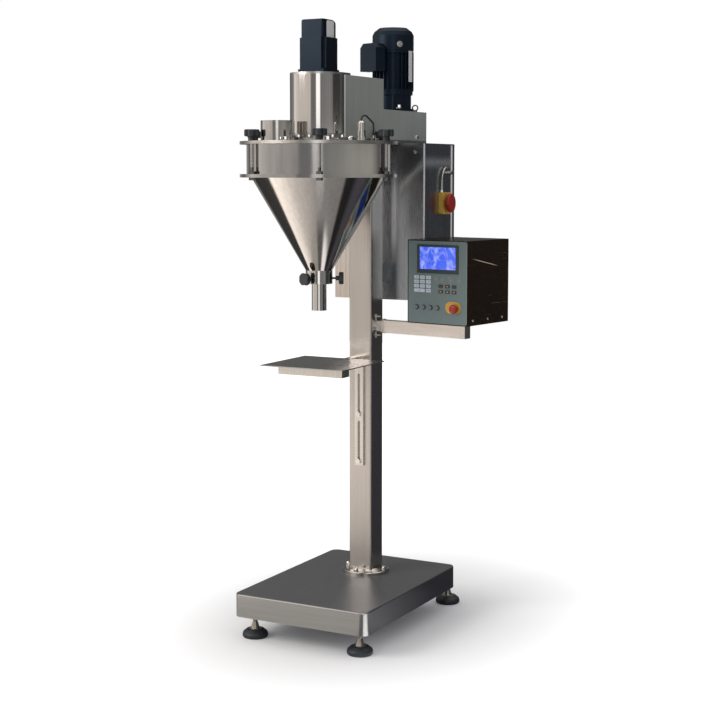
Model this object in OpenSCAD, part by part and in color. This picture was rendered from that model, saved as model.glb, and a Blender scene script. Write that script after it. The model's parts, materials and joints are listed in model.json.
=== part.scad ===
// Powder filling machine: an auger filler on a column.
// A stainless base on four feet carries a square column. The column carries the
// machine head, a conical hopper with its lid, an electrical cabinet, a height
// adjustable tray and a control box on a swing arm.
// X points to the machine's right, Y to its back, Z up. All sizes are in mm.

/* [Base] */
// Width of the base cover
base_w = 454; // [400:1:560]
// Depth of the base cover, front to back
base_d = 630; // [560:1:760]
// Height of the base cover
base_h = 70; // [55:1:100]
// Distance from the column's axis forward to the base's front
base_front = 432; // [400:1:480]
// Radius of the base cover's upright corners
base_corner_r = 25; // [12:1:40]
// Radius of the base cover's top edge
base_edge_r = 4; // [2:0.5:8]
// Thickness of the base cover's sheet
base_skin = 2; // [1.5:0.5:3]
// Thickness of the frame's bottom plate
floor_plate_t = 6; // [5:1:12]
// Width of the two runner bars that hold the feet
runner_w = 30; // [24:1:40]
// Thickness of the runner bars
runner_t = 8; // [6:1:12]

/* [Feet] */
// Height of the base cover's lower edge above the floor
foot_h = 70; // [64:1:90]
// Diameter of a rubber foot pad
foot_d = 78; // [60:1:90]
// Height of the rubber part of a foot
pad_h = 26; // [20:1:34]
// Diameter of a foot's threaded stem
stem_d = 14; // [10:1:18]
// Distance of the feet's axes in from the base's sides
foot_inset_x = 46; // [42:1:60]
// Distance of the front feet's axes in from the base's front
foot_inset_front = 52; // [42:1:70]
// Distance of the rear feet's axes behind the base cover
foot_reach_back = 37; // [34:1:60]

/* [Column] */
// Width of the square column
column_w = 80; // [70:1:100]
// Wall of the column's tube
column_wall = 3; // [2:0.5:5]
// Radius of the column's corners
column_r = 6; // [4:0.5:10]
// Diameter of the round flange at the column's foot
flange_d = 150; // [146:1:170]
// Thickness of that flange
flange_t = 10; // [8:1:16]
// Height of the machine head's carrying plate above the floor
head_z = 1503; // [1450:1:1600]
// Thickness of the head's carrying plate
head_t = 10; // [8:1:16]
// Side of the cap plate on the column
cap_w = 116; // [100:1:130]
// Thickness of the cap plate
cap_t = 8; // [6:1:12]

/* [Hopper] */
// Distance between the lid's edge and the column's cap plate
lid_gap = 8; // [4:1:30]
// Width of the lid's edge outside the straight band
lid_lip = 20; // [19:1:26]
// Thickness of the lid
lid_t = 9; // [6:1:12]
// Distance of the straight band outside the cone's upper end
band_step = 14; // [8:1:24]
// Height of the straight band
band_h = 87; // [70:1:110]
// Thickness of the hopper's flange
rim_t = 10; // [6:1:14]
// Radius of the cone's upper end
cone_top_r = 200; // [176:1:224]
// Radius of the cone's lower end
cone_low_r = 40; // [36:1:50]
// Height of the cone
cone_h = 275; // [240:1:300]
// Thickness of the hopper's sheet
hopper_wall = 2; // [1.5:0.5:3]
// Height of the nozzle collar
collar_h = 40; // [30:1:50]
// Outer radius of the filling nozzle
nozzle_r = 22; // [20:0.5:28]
// Wall of the filling nozzle
nozzle_wall = 3; // [2:0.5:4]
// Length of the filling nozzle below its collar
nozzle_l = 80; // [50:1:110]
// Outer radius of the feed port, as a share of the lid's width outside the servo cover
port_share = 0.38; // [0.3:0.01:0.4]
// Height of the feed port above the lid
port_h = 58; // [40:1:80]
// Wall of the feed port
port_wall = 2; // [1.5:0.5:3]

/* [Lid clamps] */
// Number of clamping rods around the lid
clamp_n = 6; // [6:1:6]
// Diameter of a clamping rod
rod_d = 10; // [8:1:10]
// Distance of the rods' axes outside the straight band
rod_out = 9.5; // [9:0.5:11]
// Diameter of a star knob
knob_d = 46; // [36:1:54]
// Height of a star knob's head
knob_h = 20; // [14:1:26]
// Height of a star knob's hub
hub_h = 12; // [8:1:16]

/* [Auger and agitator] */
// Radius of the auger's flight
flight_r = 18; // [16:0.5:18.5]
// Pitch of the auger's flight
flight_pitch = 30; // [20:1:40]
// Radius of the auger's shaft
auger_shaft_r = 11; // [9:0.5:12]
// Outer radius of the agitator's hollow shaft
sleeve_r = 17; // [15.5:0.5:20]
// Thickness of the agitator's plate frame
blade_t = 8; // [5:1:12]
// Width of the agitator frame's bars
blade_w = 16; // [10:1:24]
// Gap between the agitator and the hopper's wall
blade_gap = 9; // [5:1:16]
// Radius of the agitator's pulley
driven_r = 36; // [30:1:37]
// Radius of the drive pulley
driver_r = 30; // [24:1:36]
// Width of the drive belt
belt_w = 20; // [12:1:25]
// Thickness of the drive belt
belt_t = 3; // [2:0.5:4]

/* [Machine head] */
// Half width of the housing and radius of the servo cover
housing_r = 85; // [80:1:92]
// Height of the housing's front part
tall_h = 184; // [170:1:210]
// Height of the housing's rear part
low_h = 92; // [84:1:120]
// Distance of the housing's step in front of the column's axis
step_front = 47; // [0:1:90]
// Distance from the column's axis back to the housing's rear
housing_back = 258; // [255:1:270]
// Thickness of the head's sheet covers
housing_skin = 2; // [1.5:0.5:3]
// Width of the servo motor's body
servo_w = 91; // [80:1:100]
// Height of the servo motor's body
servo_h = 102; // [80:1:130]
// Width of the encoder's cap
encoder_w = 78; // [60:1:80]
// Height of the encoder's cap
encoder_h = 53; // [30:1:60]
// Distance from the column's axis back to the agitator motor's axis
motor_back = 185; // [180:1:190]
// Diameter of the agitator motor over its fins
motor_d = 133; // [120:1:150]
// Height of the finned part of the motor
stator_h = 131; // [100:1:160]
// Height of the fan cowl
cowl_h = 72; // [50:1:90]
// Diameter of the gear head
gear_d = 117; // [90:1:130]
// Height of the gear head
gear_h = 64; // [50:1:90]
// Number of cooling fins
fin_n = 28; // [16:2:36]

/* [Electrical cabinet] */
// Width of the cabinet
cabinet_w = 320; // [280:1:330]
// Depth of the cabinet
cabinet_d = 194; // [170:1:220]
// Height of the cabinet
cabinet_h = 496; // [460:1:520]
// Gap between the column and the cabinet
cabinet_gap = 48; // [40:1:60]
// Thickness of the cabinet's sheet
cabinet_skin = 2.5; // [1.5:0.5:4]
// Depth of the cabinet's door
door_t = 30; // [20:1:36]
// Gap between the cabinet and its door
door_gap = 2; // [1:0.5:4]
// Height of the side emergency stop's centre above the floor
stop_z = 1313; // [1250:1:1350]

/* [Tray] */
// Width of the tray
tray_w = 280; // [240:1:320]
// Depth of the tray
tray_d = 266; // [220:1:280]
// Thickness of the tray's plate
tray_t = 3; // [2:0.5:6]
// Height of the tray's top at rest
tray_z = 841; // [800:1:880]
// Distance from the column's face forward to the tray's rear edge
tray_gap = 105; // [80:1:130]
// Width of the cross beam under the tray
beam_w = 218; // [180:1:230]
// Height of the cross beam
beam_h = 28; // [22:1:40]
// Width of the slotted bar
bar_w = 30; // [24:1:40]
// Thickness of the slotted bar
bar_t = 8; // [6:1:12]
// Travel of the tray
tray_travel = 120; // [80:1:130]
// Spacing of the two slots
slot_pitch = 150; // [145:1:170]
// Diameter of the bolts in the slots
slot_bolt_d = 8; // [6:1:10]

/* [Control box] */
// Width of the control box
box_w = 219; // [200:1:260]
// Depth of the control box with its panel
box_d = 232; // [200:1:250]
// Height of the control box
box_h = 257; // [250:1:300]
// Thickness of the front panel
panel_t = 4; // [3:0.5:6]
// Thickness of the control box's wall
box_wall = 3; // [2:0.5:4]
// Distance from the arm's pivot to the control box
box_reach = 109.5; // [105:0.5:140]
// Distance of the panel in front of the arm's middle
panel_lead = 23; // [20:1:30]
// Length of the swing arm from its pivot
arm_l = 316; // [280:1:330]
// Height of the swing arm
arm_h = 39; // [30:1:50]
// Depth of the swing arm
arm_d = 30; // [24:1:36]
// Height of the swing arm's top above the floor
arm_z = 949.7; // [900:0.1:960]
// Angle to which the arm is turned at rest, forward from straight to the right
arm_turn = 9.5; // [5:0.5:30]
// Diameter of the arm's pivot pin
pin_d = 12; // [8:1:14]

/* [Hidden] */
$fn = 64;

// Clearances: a running fit round a pin, a gap between two bodies, a seat in one body
fit_gap = 0.06;
body_gap = 0.3;
seat_gap = 0.05;
// A cut reaches this far past the face that it opens
cut = 1;

// Levels and places worked out from the sizes
base_back = base_d - base_front;
base_top = foot_h + base_h;
base_mid_y = (base_back - base_front) / 2;
half_column = column_w / 2;
band_r = cone_top_r + band_step;
lid_r = band_r + lid_lip;
hopper_reach = lid_r + cap_w / 2 + lid_gap;
rod_ring_r = band_r + rod_out;
lid_z = head_z - lid_t;
rim_top = lid_z - band_h;
rim_z = rim_top - rim_t;
cone_z = rim_z - cone_h;
collar_z = cone_z - collar_h;
nozzle_z = collar_z - nozzle_l;
bore_r = nozzle_r - nozzle_wall;
cabinet_front = half_column + cabinet_gap;
cabinet_back = cabinet_front + cabinet_d;
cabinet_z = head_z - cabinet_h;
door_back = cabinet_back + door_gap + door_t;
deck_z = head_z + head_t;
tall_z = deck_z + tall_h;
low_z = deck_z + low_h;

// The frame's origin lies on the floor below the middle of the whole machine
boss_t = 5;
knuckle_r = 14;
arm_x = half_column + boss_t + knuckle_r + 1;
arm_y = 5;
lock_head_t = 5;
far_right = arm_x + (box_reach + box_w) * cos(arm_turn) + (box_d - panel_lead) * sin(arm_turn);
far_left = rod_ring_r + knob_d / 2;
mid_x = (far_right - far_left) / 2;
far_back = door_back + body_gap + lock_head_t;
mid_y = (far_back - hopper_reach - lid_r) / 2;

function cone_r(z) = cone_low_r + (cone_top_r - cone_low_r) * (z - cone_z) / cone_h;

// Moves a part from the column's axis to the frame's origin
module placed() {
    translate([-mid_x, -mid_y, 0]) children();
}

// Moves a part from the column's axis to the hopper's axis
module at_hopper(z) {
    translate([0, -hopper_reach, z]) children();
}

module rounded_rect(w, d, r) {
    square([w - 2 * r, d], center = true);
    square([w, d - 2 * r], center = true);
    for (sx = [-1, 1], sy = [-1, 1]) translate([sx * (w / 2 - r), sy * (d / 2 - r)]) circle(r);
}

module block(x0, x1, y0, y1, z0, z1) {
    translate([x0, y0, z0]) cube([x1 - x0, y1 - y0, z1 - z0]);
}

module tube(outer_r, inner_r, h) {
    difference() {
        cylinder(r = outer_r, h = h);
        translate([0, 0, -cut]) cylinder(r = inner_r, h = h + 2 * cut);
    }
}

module hex_head(across, h) {
    cylinder(d = across / cos(30), h = h, $fn = 6);
}

// Base

// Folded stainless cover, open below, with a rounded top edge
module base_cover() color("silver") {
    inner_r = base_corner_r - base_skin;
    difference() {
        translate([0, base_mid_y, foot_h]) hull() {
            for (sx = [-1, 1], sy = [-1, 1]) {
                translate([sx * (base_w / 2 - base_corner_r), sy * (base_d / 2 - base_corner_r), 0]) {
                    base_corner();
                }
            }
        }
        translate([0, base_mid_y, foot_h - cut]) linear_extrude(base_h - base_skin + cut) {
            rounded_rect(base_w - 2 * base_skin, base_d - 2 * base_skin, inner_r);
        }
    }
}

module base_corner() {
    cylinder(r = base_corner_r, h = base_h - base_edge_r, $fn = 40);
    for (a = [30, 60, 90]) {
        cylinder(r = base_corner_r - base_edge_r * (1 - cos(a)),
            h = base_h - base_edge_r * (1 - sin(a)), $fn = 40);
    }
}

foot_x = base_w / 2 - foot_inset_x;
foot_front = -base_front + foot_inset_front;
foot_back = base_back + foot_reach_back;

module at_feet() {
    for (x = [-foot_x, foot_x], y = [foot_front, foot_back]) translate([x, y, 0]) children();
}

// Welded frame under the cover: bottom plate, ribs up to the cover and two runner bars
module base_frame() color("dimgray") {
    loose = 0.5;
    rib_t = 6;
    plate_w = base_w - 2 * base_skin - 2 * loose;
    plate_d = base_d - 2 * base_skin - 2 * loose;
    rib_top = base_top - base_skin;
    rib_half = flange_d / 2;
    difference() {
        union() {
            translate([0, base_mid_y, foot_h]) linear_extrude(floor_plate_t) {
                rounded_rect(plate_w, plate_d, base_corner_r - base_skin - loose);
            }
            for (s = [-1, 1]) {
                translate([s * foot_x, 0, foot_h - runner_t]) linear_extrude(runner_t) runner_outline();
                translate([s * (rib_half - rib_t / 2) - rib_t / 2, 0, 0]) {
                    block(0, rib_t, base_mid_y - plate_d / 2 + base_corner_r,
                        base_mid_y + plate_d / 2 - base_corner_r, foot_h, rib_top);
                }
                translate([0, s * (rib_half - rib_t / 2) - rib_t / 2, 0]) {
                    block(-plate_w / 2 + base_corner_r, plate_w / 2 - base_corner_r, 0, rib_t,
                        foot_h, rib_top);
                }
            }
            block(-rib_half, rib_half, -rib_half, rib_half, rib_top - rib_t, rib_top);
        }
        at_feet() translate([0, 0, foot_h - runner_t - cut]) {
            cylinder(d = stem_d + 2 * seat_gap, h = runner_t + floor_plate_t + 2 * cut);
        }
    }
}

module runner_outline() {
    translate([-runner_w / 2, foot_front]) square([runner_w, foot_back - foot_front]);
    for (y = [foot_front, foot_back]) translate([0, y]) circle(d = runner_w);
}

// Four levelling feet: rubber pad moulded round the flared end of a steel stem, with its lock nut
module levelling_feet() color("darkslategray") {
    at_feet() {
        rotate_extrude() foot_profile();
        translate([0, 0, foot_h - runner_t - nut_h]) hex_head(1.5 * stem_d, nut_h);
    }
}
nut_h = 7;

module foot_profile() {
    r = foot_d / 2;
    stem_r = stem_d / 2;
    flare_h = 22;
    polygon([[0, 0], [r - 3, 0], [r, 4], [r, 11], [r * 0.93, 17], [r * 0.7, pad_h - 2],
        [stem_r * 2.4, pad_h], [stem_r * 2, pad_h], [stem_r + 2, pad_h + flare_h - 6],
        [stem_r, pad_h + flare_h], [stem_r, foot_h + floor_plate_t], [0, foot_h + floor_plate_t]]);
}

// Column

module column() color("silver") {
    h = head_z - cap_t - base_top;
    translate([0, 0, base_top]) difference() {
        linear_extrude(h) rounded_rect(column_w, column_w, column_r);
        translate([0, 0, -cut]) linear_extrude(h + 2 * cut) {
            rounded_rect(column_w - 2 * column_wall, column_w - 2 * column_wall, column_r - column_wall);
        }
    }
    translate([0, 0, head_z - cap_t]) linear_extrude(cap_t) rounded_rect(cap_w, cap_w, column_r);
}

nut_ring_r = half_column * sqrt(2) + 8;

// Round foot flange with a raised collar round the column
module column_flange() color("silver") {
    collar_r = half_column * sqrt(2) + 2;
    collar_t = 6;
    opening = column_w + 2 * seat_gap;
    difference() {
        translate([0, 0, base_top]) {
            cylinder(d = flange_d, h = flange_t - 2);
            translate([0, 0, flange_t - 2]) cylinder(d1 = flange_d, d2 = flange_d - 4, h = 2);
            translate([0, 0, flange_t]) cylinder(r1 = collar_r - 3, r2 = collar_r - 8, h = collar_t);
        }
        translate([0, 0, base_top - cut]) linear_extrude(flange_t + collar_t + 2 * cut) {
            rounded_rect(opening, opening, column_r);
        }
    }
}

// Four domed nuts that hold the flange to the frame, one off each face of the column
module flange_nuts() color("gainsboro") {
    for (a = [0 : 90 : 270]) rotate(a) translate([nut_ring_r, 0, base_top + flange_t]) {
        rotate_extrude() polygon([[0, 0], [8, 0], [8, 1.5], [6.5, 1.5], [6.5, 7], [5, 10],
            [2.5, 12], [0, 12.5]]);
    }
}

// Machine head

// Plate that carries lid, motors and covers, with the bridge under the agitator motor
module head_plate() color("silver") {
    bridge_t = 8;
    bridge_half = 64;
    wall_x = housing_r - housing_skin - body_gap;
    bridge_z = low_z - housing_skin - body_gap;
    hub_r = 44;
    difference() {
        union() {
            block(-housing_r, housing_r, -hopper_reach, housing_back, head_z, deck_z);
            at_hopper(head_z) cylinder(r = housing_r + 12, h = head_t);
            for (s = [-1, 1]) {
                translate([s * (wall_x - bridge_t / 2) - bridge_t / 2, 0, 0]) {
                    block(0, bridge_t, motor_back - bridge_half, motor_back + bridge_half,
                        deck_z, bridge_z);
                }
            }
            block(-wall_x, wall_x, motor_back - bridge_half, motor_back + bridge_half,
                bridge_z - bridge_t, bridge_z);
        }
        at_hopper(head_z - cut) cylinder(r = barrel_r + seat_gap, h = head_t + 2 * cut);
        translate([0, motor_back, bridge_z - bridge_t - cut]) cylinder(r = hub_r, h = bridge_t + 2 * cut);
    }
}

barrel_r = sleeve_r + 27;
barrel_h = 64;
hub_top = deck_z + 17;
bearing_r = sleeve_r + 14;
bearing_h = 16;

// Flanged bearing housing of the agitator, through the head plate and the lid
module bearing_housing() color("gray") {
    seat = bearing_h + 2;
    at_hopper(0) difference() {
        union() {
            translate([0, 0, head_z - barrel_h]) cylinder(r = barrel_r, h = barrel_h + head_t + cut);
            translate([0, 0, deck_z]) cylinder(r = housing_r - housing_skin - body_gap, h = hub_top - deck_z);
        }
        translate([0, 0, head_z - barrel_h - cut]) {
            cylinder(r = sleeve_r + 5, h = barrel_h + head_t + 40);
        }
        translate([0, 0, hub_top - seat]) cylinder(r = bearing_r + seat_gap, h = seat + cut);
        translate([0, 0, head_z - barrel_h - cut]) {
            cylinder(r = bearing_r + seat_gap, h = seat + cut);
        }
        for (a = [45 : 90 : 315]) rotate(a) translate([pillar_ring_r, 0, deck_z - cut]) {
            cylinder(r = pillar_r + seat_gap, h = hub_top - deck_z + 2 * cut);
        }
    }
}

// Two ball bearings of the agitator's hollow shaft
module bearings() color("lightsteelblue") {
    for (z = [head_z - barrel_h + 2, hub_top - bearing_h - 2]) at_hopper(z) difference() {
        tube(bearing_r, sleeve_r + fit_gap, bearing_h);
        for (face = [-cut, bearing_h - 1]) translate([0, 0, face]) tube(bearing_r - 4, sleeve_r + 4, 1 + cut);
    }
}

// Side profile of the housing, set in by the sheet: Y to the right, Z up
module housing_profile(skin, over) {
    polygon([[-hopper_reach - over, deck_z - over], [housing_back - skin, deck_z - over],
        [housing_back - skin, low_z - skin], [-step_front - skin, low_z - skin],
        [-step_front - skin, tall_z - skin], [-hopper_reach - over, tall_z - skin]]);
}

module housing_block(half, skin, over) {
    rotate([90, 0, 90]) translate([0, 0, -half]) linear_extrude(2 * half) housing_profile(skin, over);
}

// Sheet housing of the belt drive, open below and in front
module housing_shell() color("silver") {
    difference() {
        housing_block(housing_r, 0, 0);
        housing_block(housing_r - housing_skin, housing_skin, cut);
        translate([0, motor_back, low_z - housing_skin - cut]) {
            cylinder(r = gear_pilot_r + body_gap, h = housing_skin + 2 * cut);
        }
        at_hopper(tall_z - housing_skin - cut) {
            cylinder(r = pillar_ring_r + pillar_r + 2, h = housing_skin + 2 * cut);
        }
    }
}

// Half-round cover of the auger drive
module servo_cover() color("gainsboro") {
    bottom = deck_z + 13;
    at_hopper(bottom) linear_extrude(tall_z - bottom) difference() {
        circle(housing_r);
        circle(housing_r - housing_skin);
        translate([-housing_r - cut, 0]) square([2 * housing_r + 2 * cut, housing_r + cut]);
    }
}

pillar_r = 7;
pillar_ring_r = 68;
adaptor_t = 6;
servo_z = tall_z + adaptor_t;

// Motor adaptor plate on four pillars
module servo_stand() color("lightgray") {
    at_hopper(0) {
        for (a = [45 : 90 : 315]) rotate(a) translate([pillar_ring_r, 0, deck_z]) {
            cylinder(r = pillar_r, h = tall_z - deck_z);
        }
        translate([0, 0, tall_z]) difference() {
            union() {
                cylinder(r = housing_r, h = adaptor_t);
                translate([-housing_r, 0, 0]) cube([2 * housing_r, 40, adaptor_t]);
            }
            translate([0, 0, -cut]) cylinder(r = 36, h = adaptor_t + 2 * cut);
        }
    }
}

servo_shaft_r = 8;

// Servo motor with its square body, corner grooves and encoder cap
module servo_motor() color("black") {
    at_hopper(servo_z) difference() {
        union() {
            linear_extrude(10) rounded_rect(servo_w, servo_w, 4);
            translate([0, 0, 10]) linear_extrude(servo_h - 10) difference() {
                rounded_rect(servo_w - 2, servo_w - 2, 6);
                for (a = [45 : 90 : 315]) rotate(a) translate([servo_w * 0.66, 0]) circle(9);
            }
            translate([0, 0, servo_h]) encoder_cap();
        }
        translate([0, 0, -cut]) cylinder(r = servo_shaft_r + fit_gap, h = 24 + cut);
    }
}

// Encoder's cap: small rounded edges, and a large round along its top rear edge
module encoder_cap() {
    top_r = 5;
    rear_r = 28;
    half = encoder_w / 2;
    intersection() {
        union() {
            linear_extrude(encoder_h - top_r) rounded_rect(encoder_w, encoder_w, 8);
            for (step = [30, 60, 90]) {
                inset = top_r * (1 - cos(step));
                linear_extrude(encoder_h - top_r * (1 - sin(step))) {
                    rounded_rect(encoder_w - 2 * inset, encoder_w - 2 * inset, 8 - inset);
                }
            }
        }
        rotate([90, 0, 90]) translate([0, 0, -half - cut]) linear_extrude(encoder_w + 2 * cut) {
            polygon([[-half - cut, -cut], [half + cut, -cut], for (a = [0 : 10 : 90])
                [half + 0.2 - rear_r + rear_r * cos(a), encoder_h + 0.2 - rear_r + rear_r * sin(a)],
                [-half - cut, encoder_h + 0.2]]);
        }
    }
}

gear_pilot_r = 40;
gear_flange_t = 10;

// Gear head of the agitator motor on its round flange
module gear_head() color("darkslategray") {
    pilot_h = housing_skin + 6;
    translate([0, motor_back, low_z]) difference() {
        union() {
            cylinder(d = motor_d - 4, h = gear_flange_t);
            translate([0, 0, gear_flange_t]) cylinder(d = gear_d, h = gear_h - 2 * gear_flange_t);
            translate([0, 0, gear_h - gear_flange_t]) cylinder(d = motor_d - 6, h = gear_flange_t);
            translate([0, 0, -pilot_h]) cylinder(r = gear_pilot_r, h = pilot_h);
            for (a = [0 : 60 : 300]) rotate(a) translate([gear_d / 2 - 4, 0, 0]) {
                cylinder(r = 7, h = gear_h);
            }
        }
        translate([0, 0, -pilot_h - cut]) cylinder(r = driver_shaft_r + fit_gap, h = pilot_h + 30);
    }
}

stator_z = low_z + gear_h;
box_turn = 23;

// Finned motor with its terminal box, which points to the front left
module agitator_motor() color("midnightblue") {
    fin_t = 3;
    core_r = motor_d / 2 - 9;
    translate([0, motor_back, stator_z]) {
        cylinder(r = core_r, h = stator_h);
        cylinder(d = motor_d - 4, h = 8);
        translate([0, 0, stator_h - 8]) cylinder(d = motor_d - 4, h = 8);
        for (i = [0 : fin_n - 1]) rotate(i * 360 / fin_n) {
            translate([core_r - 4, -fin_t / 2, 4]) cube([motor_d / 2 - core_r + 4, fin_t, stator_h - 8]);
        }
        rotate(-box_turn) terminal_box();
    }
}

module terminal_box() {
    box_out = motor_d / 2 + 38;
    wide = 78;
    tall = 88;
    chamfer = 14;
    z0 = stator_h - 68;
    pad_half = wide / 2 - 9;
    pad_in = 30;
    deep = box_out - motor_d / 2 - body_gap;
    translate([0, -box_out, z0]) rotate([-90, 0, 0]) linear_extrude(deep) {
        polygon([[-wide / 2, 0], [wide / 2, 0], [wide / 2, -tall + chamfer],
            [wide / 2 - chamfer, -tall], [-wide / 2 + chamfer, -tall], [-wide / 2, -tall + chamfer]]);
    }
    block(-pad_half, pad_half, deep - box_out - cut, -pad_in, z0 + 6, stator_h - 11);
}

// Fan cowl with recessed air slots in its top
module fan_cowl() color("midnightblue") {
    r = motor_d / 2;
    slope = 12;
    top_r = r - 1.8 * slope;
    slot_depth = 3;
    slot_in = 10;
    translate([0, motor_back, stator_z + stator_h + body_gap]) difference() {
        union() {
            cylinder(r = r, h = cowl_h - 2 * slope);
            translate([0, 0, cowl_h - 2 * slope]) cylinder(r1 = r, r2 = r - slope / 2, h = slope);
            translate([0, 0, cowl_h - slope]) cylinder(r1 = r - slope / 2, r2 = top_r, h = slope);
        }
        for (a = [0 : 45 : 315]) rotate(a) translate([slot_in, -2.5, cowl_h - slot_depth]) {
            cube([top_r - slot_in - 4, 5, slot_depth + cut]);
        }
    }
}

// Belt drive

belt_z = hub_top + 8;
driver_shaft_r = 10;

// Smooth flat belt round both pulleys
module drive_belt() color("dimgray") {
    translate([0, 0, belt_z]) linear_extrude(belt_w) difference() {
        belt_outline(body_gap + belt_t);
        belt_outline(body_gap);
    }
}

module belt_outline(more) {
    hull() {
        translate([0, -hopper_reach]) circle(driven_r + more);
        translate([0, motor_back]) circle(driver_r + more);
    }
}

// Pulley with a thin flange on each side of the belt
module pulley(r) {
    side = 2;
    disc_t = 1.5;
    translate([0, 0, -side]) cylinder(r = r, h = belt_w + 2 * side);
    for (z = [-side - disc_t, belt_w + side - disc_t]) translate([0, 0, z]) cylinder(r = r + 2.5, h = disc_t);
}

// Drive pulley with the gear head's output shaft
module drive_pulley() color("silver") {
    translate([0, motor_back, belt_z]) {
        pulley(driver_r);
        cylinder(r = driver_shaft_r, h = low_z + 10 - belt_z);
    }
}

// Agitator's hollow shaft with its pulley
module agitator_shaft() color("silver") {
    low = head_z - barrel_h - 44;
    at_hopper(0) difference() {
        union() {
            translate([0, 0, low]) cylinder(r = sleeve_r, h = belt_z - low);
            translate([0, 0, hub_top + body_gap]) cylinder(r = sleeve_r + 6, h = belt_z - hub_top - 4);
            translate([0, 0, belt_z]) pulley(driven_r);
        }
        translate([0, 0, low - cut]) cylinder(r = auger_shaft_r + fit_gap, h = belt_z + belt_w + 40 - low);
    }
}

blade_low_z = cone_z + 45;
blade_top_z = rim_top + 20;
blade_hub_z = blade_top_z - 24;

function blade_r(z) = min(cone_r(z), band_r - hopper_wall) - hopper_wall - blade_gap;

// One half of the plate frame: X outwards from the axis, Y up
module blade_outline() {
    top_r = blade_r(rim_z);
    low_r = blade_r(blade_low_z);
    difference() {
        polygon([[sleeve_r + 3, blade_low_z], [low_r, blade_low_z], [top_r, rim_z],
            [top_r, blade_top_z], [sleeve_r + 3, blade_top_z]]);
        polygon([[sleeve_r, blade_low_z + blade_w], [low_r, blade_low_z + blade_w],
            [top_r - blade_w * 1.2, rim_z], [top_r - blade_w * 1.2, blade_top_z - blade_w],
            [sleeve_r, blade_top_z - blade_w]]);
    }
}

// Agitator frame that sweeps the cone, clamped on the hollow shaft
module agitator_blade() color("lightgray") {
    ring_r = sleeve_r + 10;
    at_hopper(0) {
        difference() {
            union() {
                for (s = [0, 180]) rotate([0, 0, s]) rotate([90, 0, 0]) {
                    translate([0, 0, -blade_t / 2]) linear_extrude(blade_t) blade_outline();
                }
                translate([0, 0, blade_hub_z]) cylinder(r = ring_r, h = blade_top_z + 4 - blade_hub_z);
                translate([0, 0, blade_low_z]) cylinder(r = ring_r, h = blade_w);
            }
            translate([0, 0, blade_hub_z - cut]) {
                cylinder(r = sleeve_r + seat_gap, h = blade_top_z + 6 - blade_hub_z);
            }
            translate([0, 0, blade_low_z - cut]) cylinder(r = flight_r + 3, h = blade_w + 2 * cut);
        }
    }
}

// Auger

flight_top = blade_low_z + 30;
flight_low = nozzle_z + 4;
coupling_r = 1.9 * auger_shaft_r;
coupling_h = tall_h / 4;
coupling_slit = 2;
coupling_top = servo_z - 12;

// Auger's shaft with the coupling and the servo motor's output shaft
module auger_shaft() color("silver") {
    at_hopper(0) {
        translate([0, 0, flight_top]) cylinder(r = auger_shaft_r, h = coupling_top - flight_top);
        translate([0, 0, coupling_top - coupling_h]) {
            tube_h = (coupling_h - coupling_slit) / 2;
            cylinder(r = coupling_r, h = tube_h);
            translate([0, 0, tube_h + coupling_slit]) cylinder(r = coupling_r, h = tube_h);
        }
        translate([0, 0, coupling_top - 1]) cylinder(r = servo_shaft_r, h = servo_z + 20 - coupling_top);
    }
}

// Helical flight round its core
module auger_flight() color("gainsboro") {
    h = flight_top - flight_low;
    turns = h / flight_pitch;
    core_r = auger_shaft_r - 3;
    at_hopper(flight_low) {
        linear_extrude(height = h, twist = -360 * turns, slices = round(turns * 14), segments = 18) {
            circle(core_r, $fn = 14);
            polygon([[0, -2.5], for (a = [-11, 0, 11]) flight_r * [cos(a), sin(a)], [0, 2.5]]);
        }
    }
}

// Hopper and lid

// The feed port stands between the servo cover and the band, beside a clamp's knob
lid_width = band_r - housing_r;
port_r = port_share * lid_width;
port_out = housing_r + 0.537 * lid_width;
port_turn = 69;
port_x = -port_out * cos(port_turn);
port_y = -port_out * sin(port_turn);
sensor_x = band_r - 58;
sensor_y = -26;
sensor_r = 15;
sensor_h = 57;
probe_r = 9;
gland_x = band_r - 38;
gland_y = 12;

module at_clamps() {
    for (i = [0 : clamp_n - 1]) rotate(i * 360 / clamp_n) translate([rod_ring_r, 0, 0]) children();
}

module lid_plate() color("lightgray") {
    at_hopper(lid_z) difference() {
        cylinder(r = lid_r, h = lid_t);
        translate([0, 0, -cut]) {
            cylinder(r = barrel_r + seat_gap, h = lid_t + 2 * cut);
            at_clamps() cylinder(d = rod_d + 1, h = lid_t + 2 * cut);
            translate([port_x, port_y, 0]) cylinder(r = port_r - port_wall, h = lid_t + 2 * cut);
            translate([sensor_x, sensor_y, 0]) cylinder(r = probe_r + seat_gap, h = lid_t + 2 * cut);
        }
    }
}

// Short feed tube welded on the lid
module feed_port() color("silver") {
    weld = 2;
    at_hopper(head_z) translate([port_x, port_y, 0]) {
        tube(port_r, port_r - port_wall, port_h);
        tube(port_r + weld, port_r - cut, weld);
    }
}

// Rotary level sensor on the lid with its probe in the hopper, and the gland of its lead
module level_sensor() color("silver") {
    foot_top = 14;
    body_top = 28;
    cone_top = 5;
    neck_r = 5;
    at_hopper(head_z) translate([sensor_x, sensor_y, 0]) {
        cylinder(r = sensor_r, h = foot_top);
        translate([0, 0, foot_top]) cylinder(r = sensor_r - 1.5, h = body_top - foot_top);
        translate([0, 0, body_top]) cylinder(r = sensor_r - 3, h = sensor_h - cone_top - body_top);
        translate([0, 0, sensor_h - cone_top]) cylinder(r1 = sensor_r - 3, r2 = sensor_r - 7, h = cone_top);
        translate([0, 0, -lid_t - 20]) cylinder(r = probe_r, h = lid_t + 21);
        translate([0, 0, -lid_t - 34]) cylinder(r = neck_r, h = 15);
    }
    at_hopper(head_z) translate([gland_x, gland_y, 0]) {
        hex_head(16, 8);
        cylinder(r = 6, h = gland_h);
    }
}
gland_h = 16;

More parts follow.
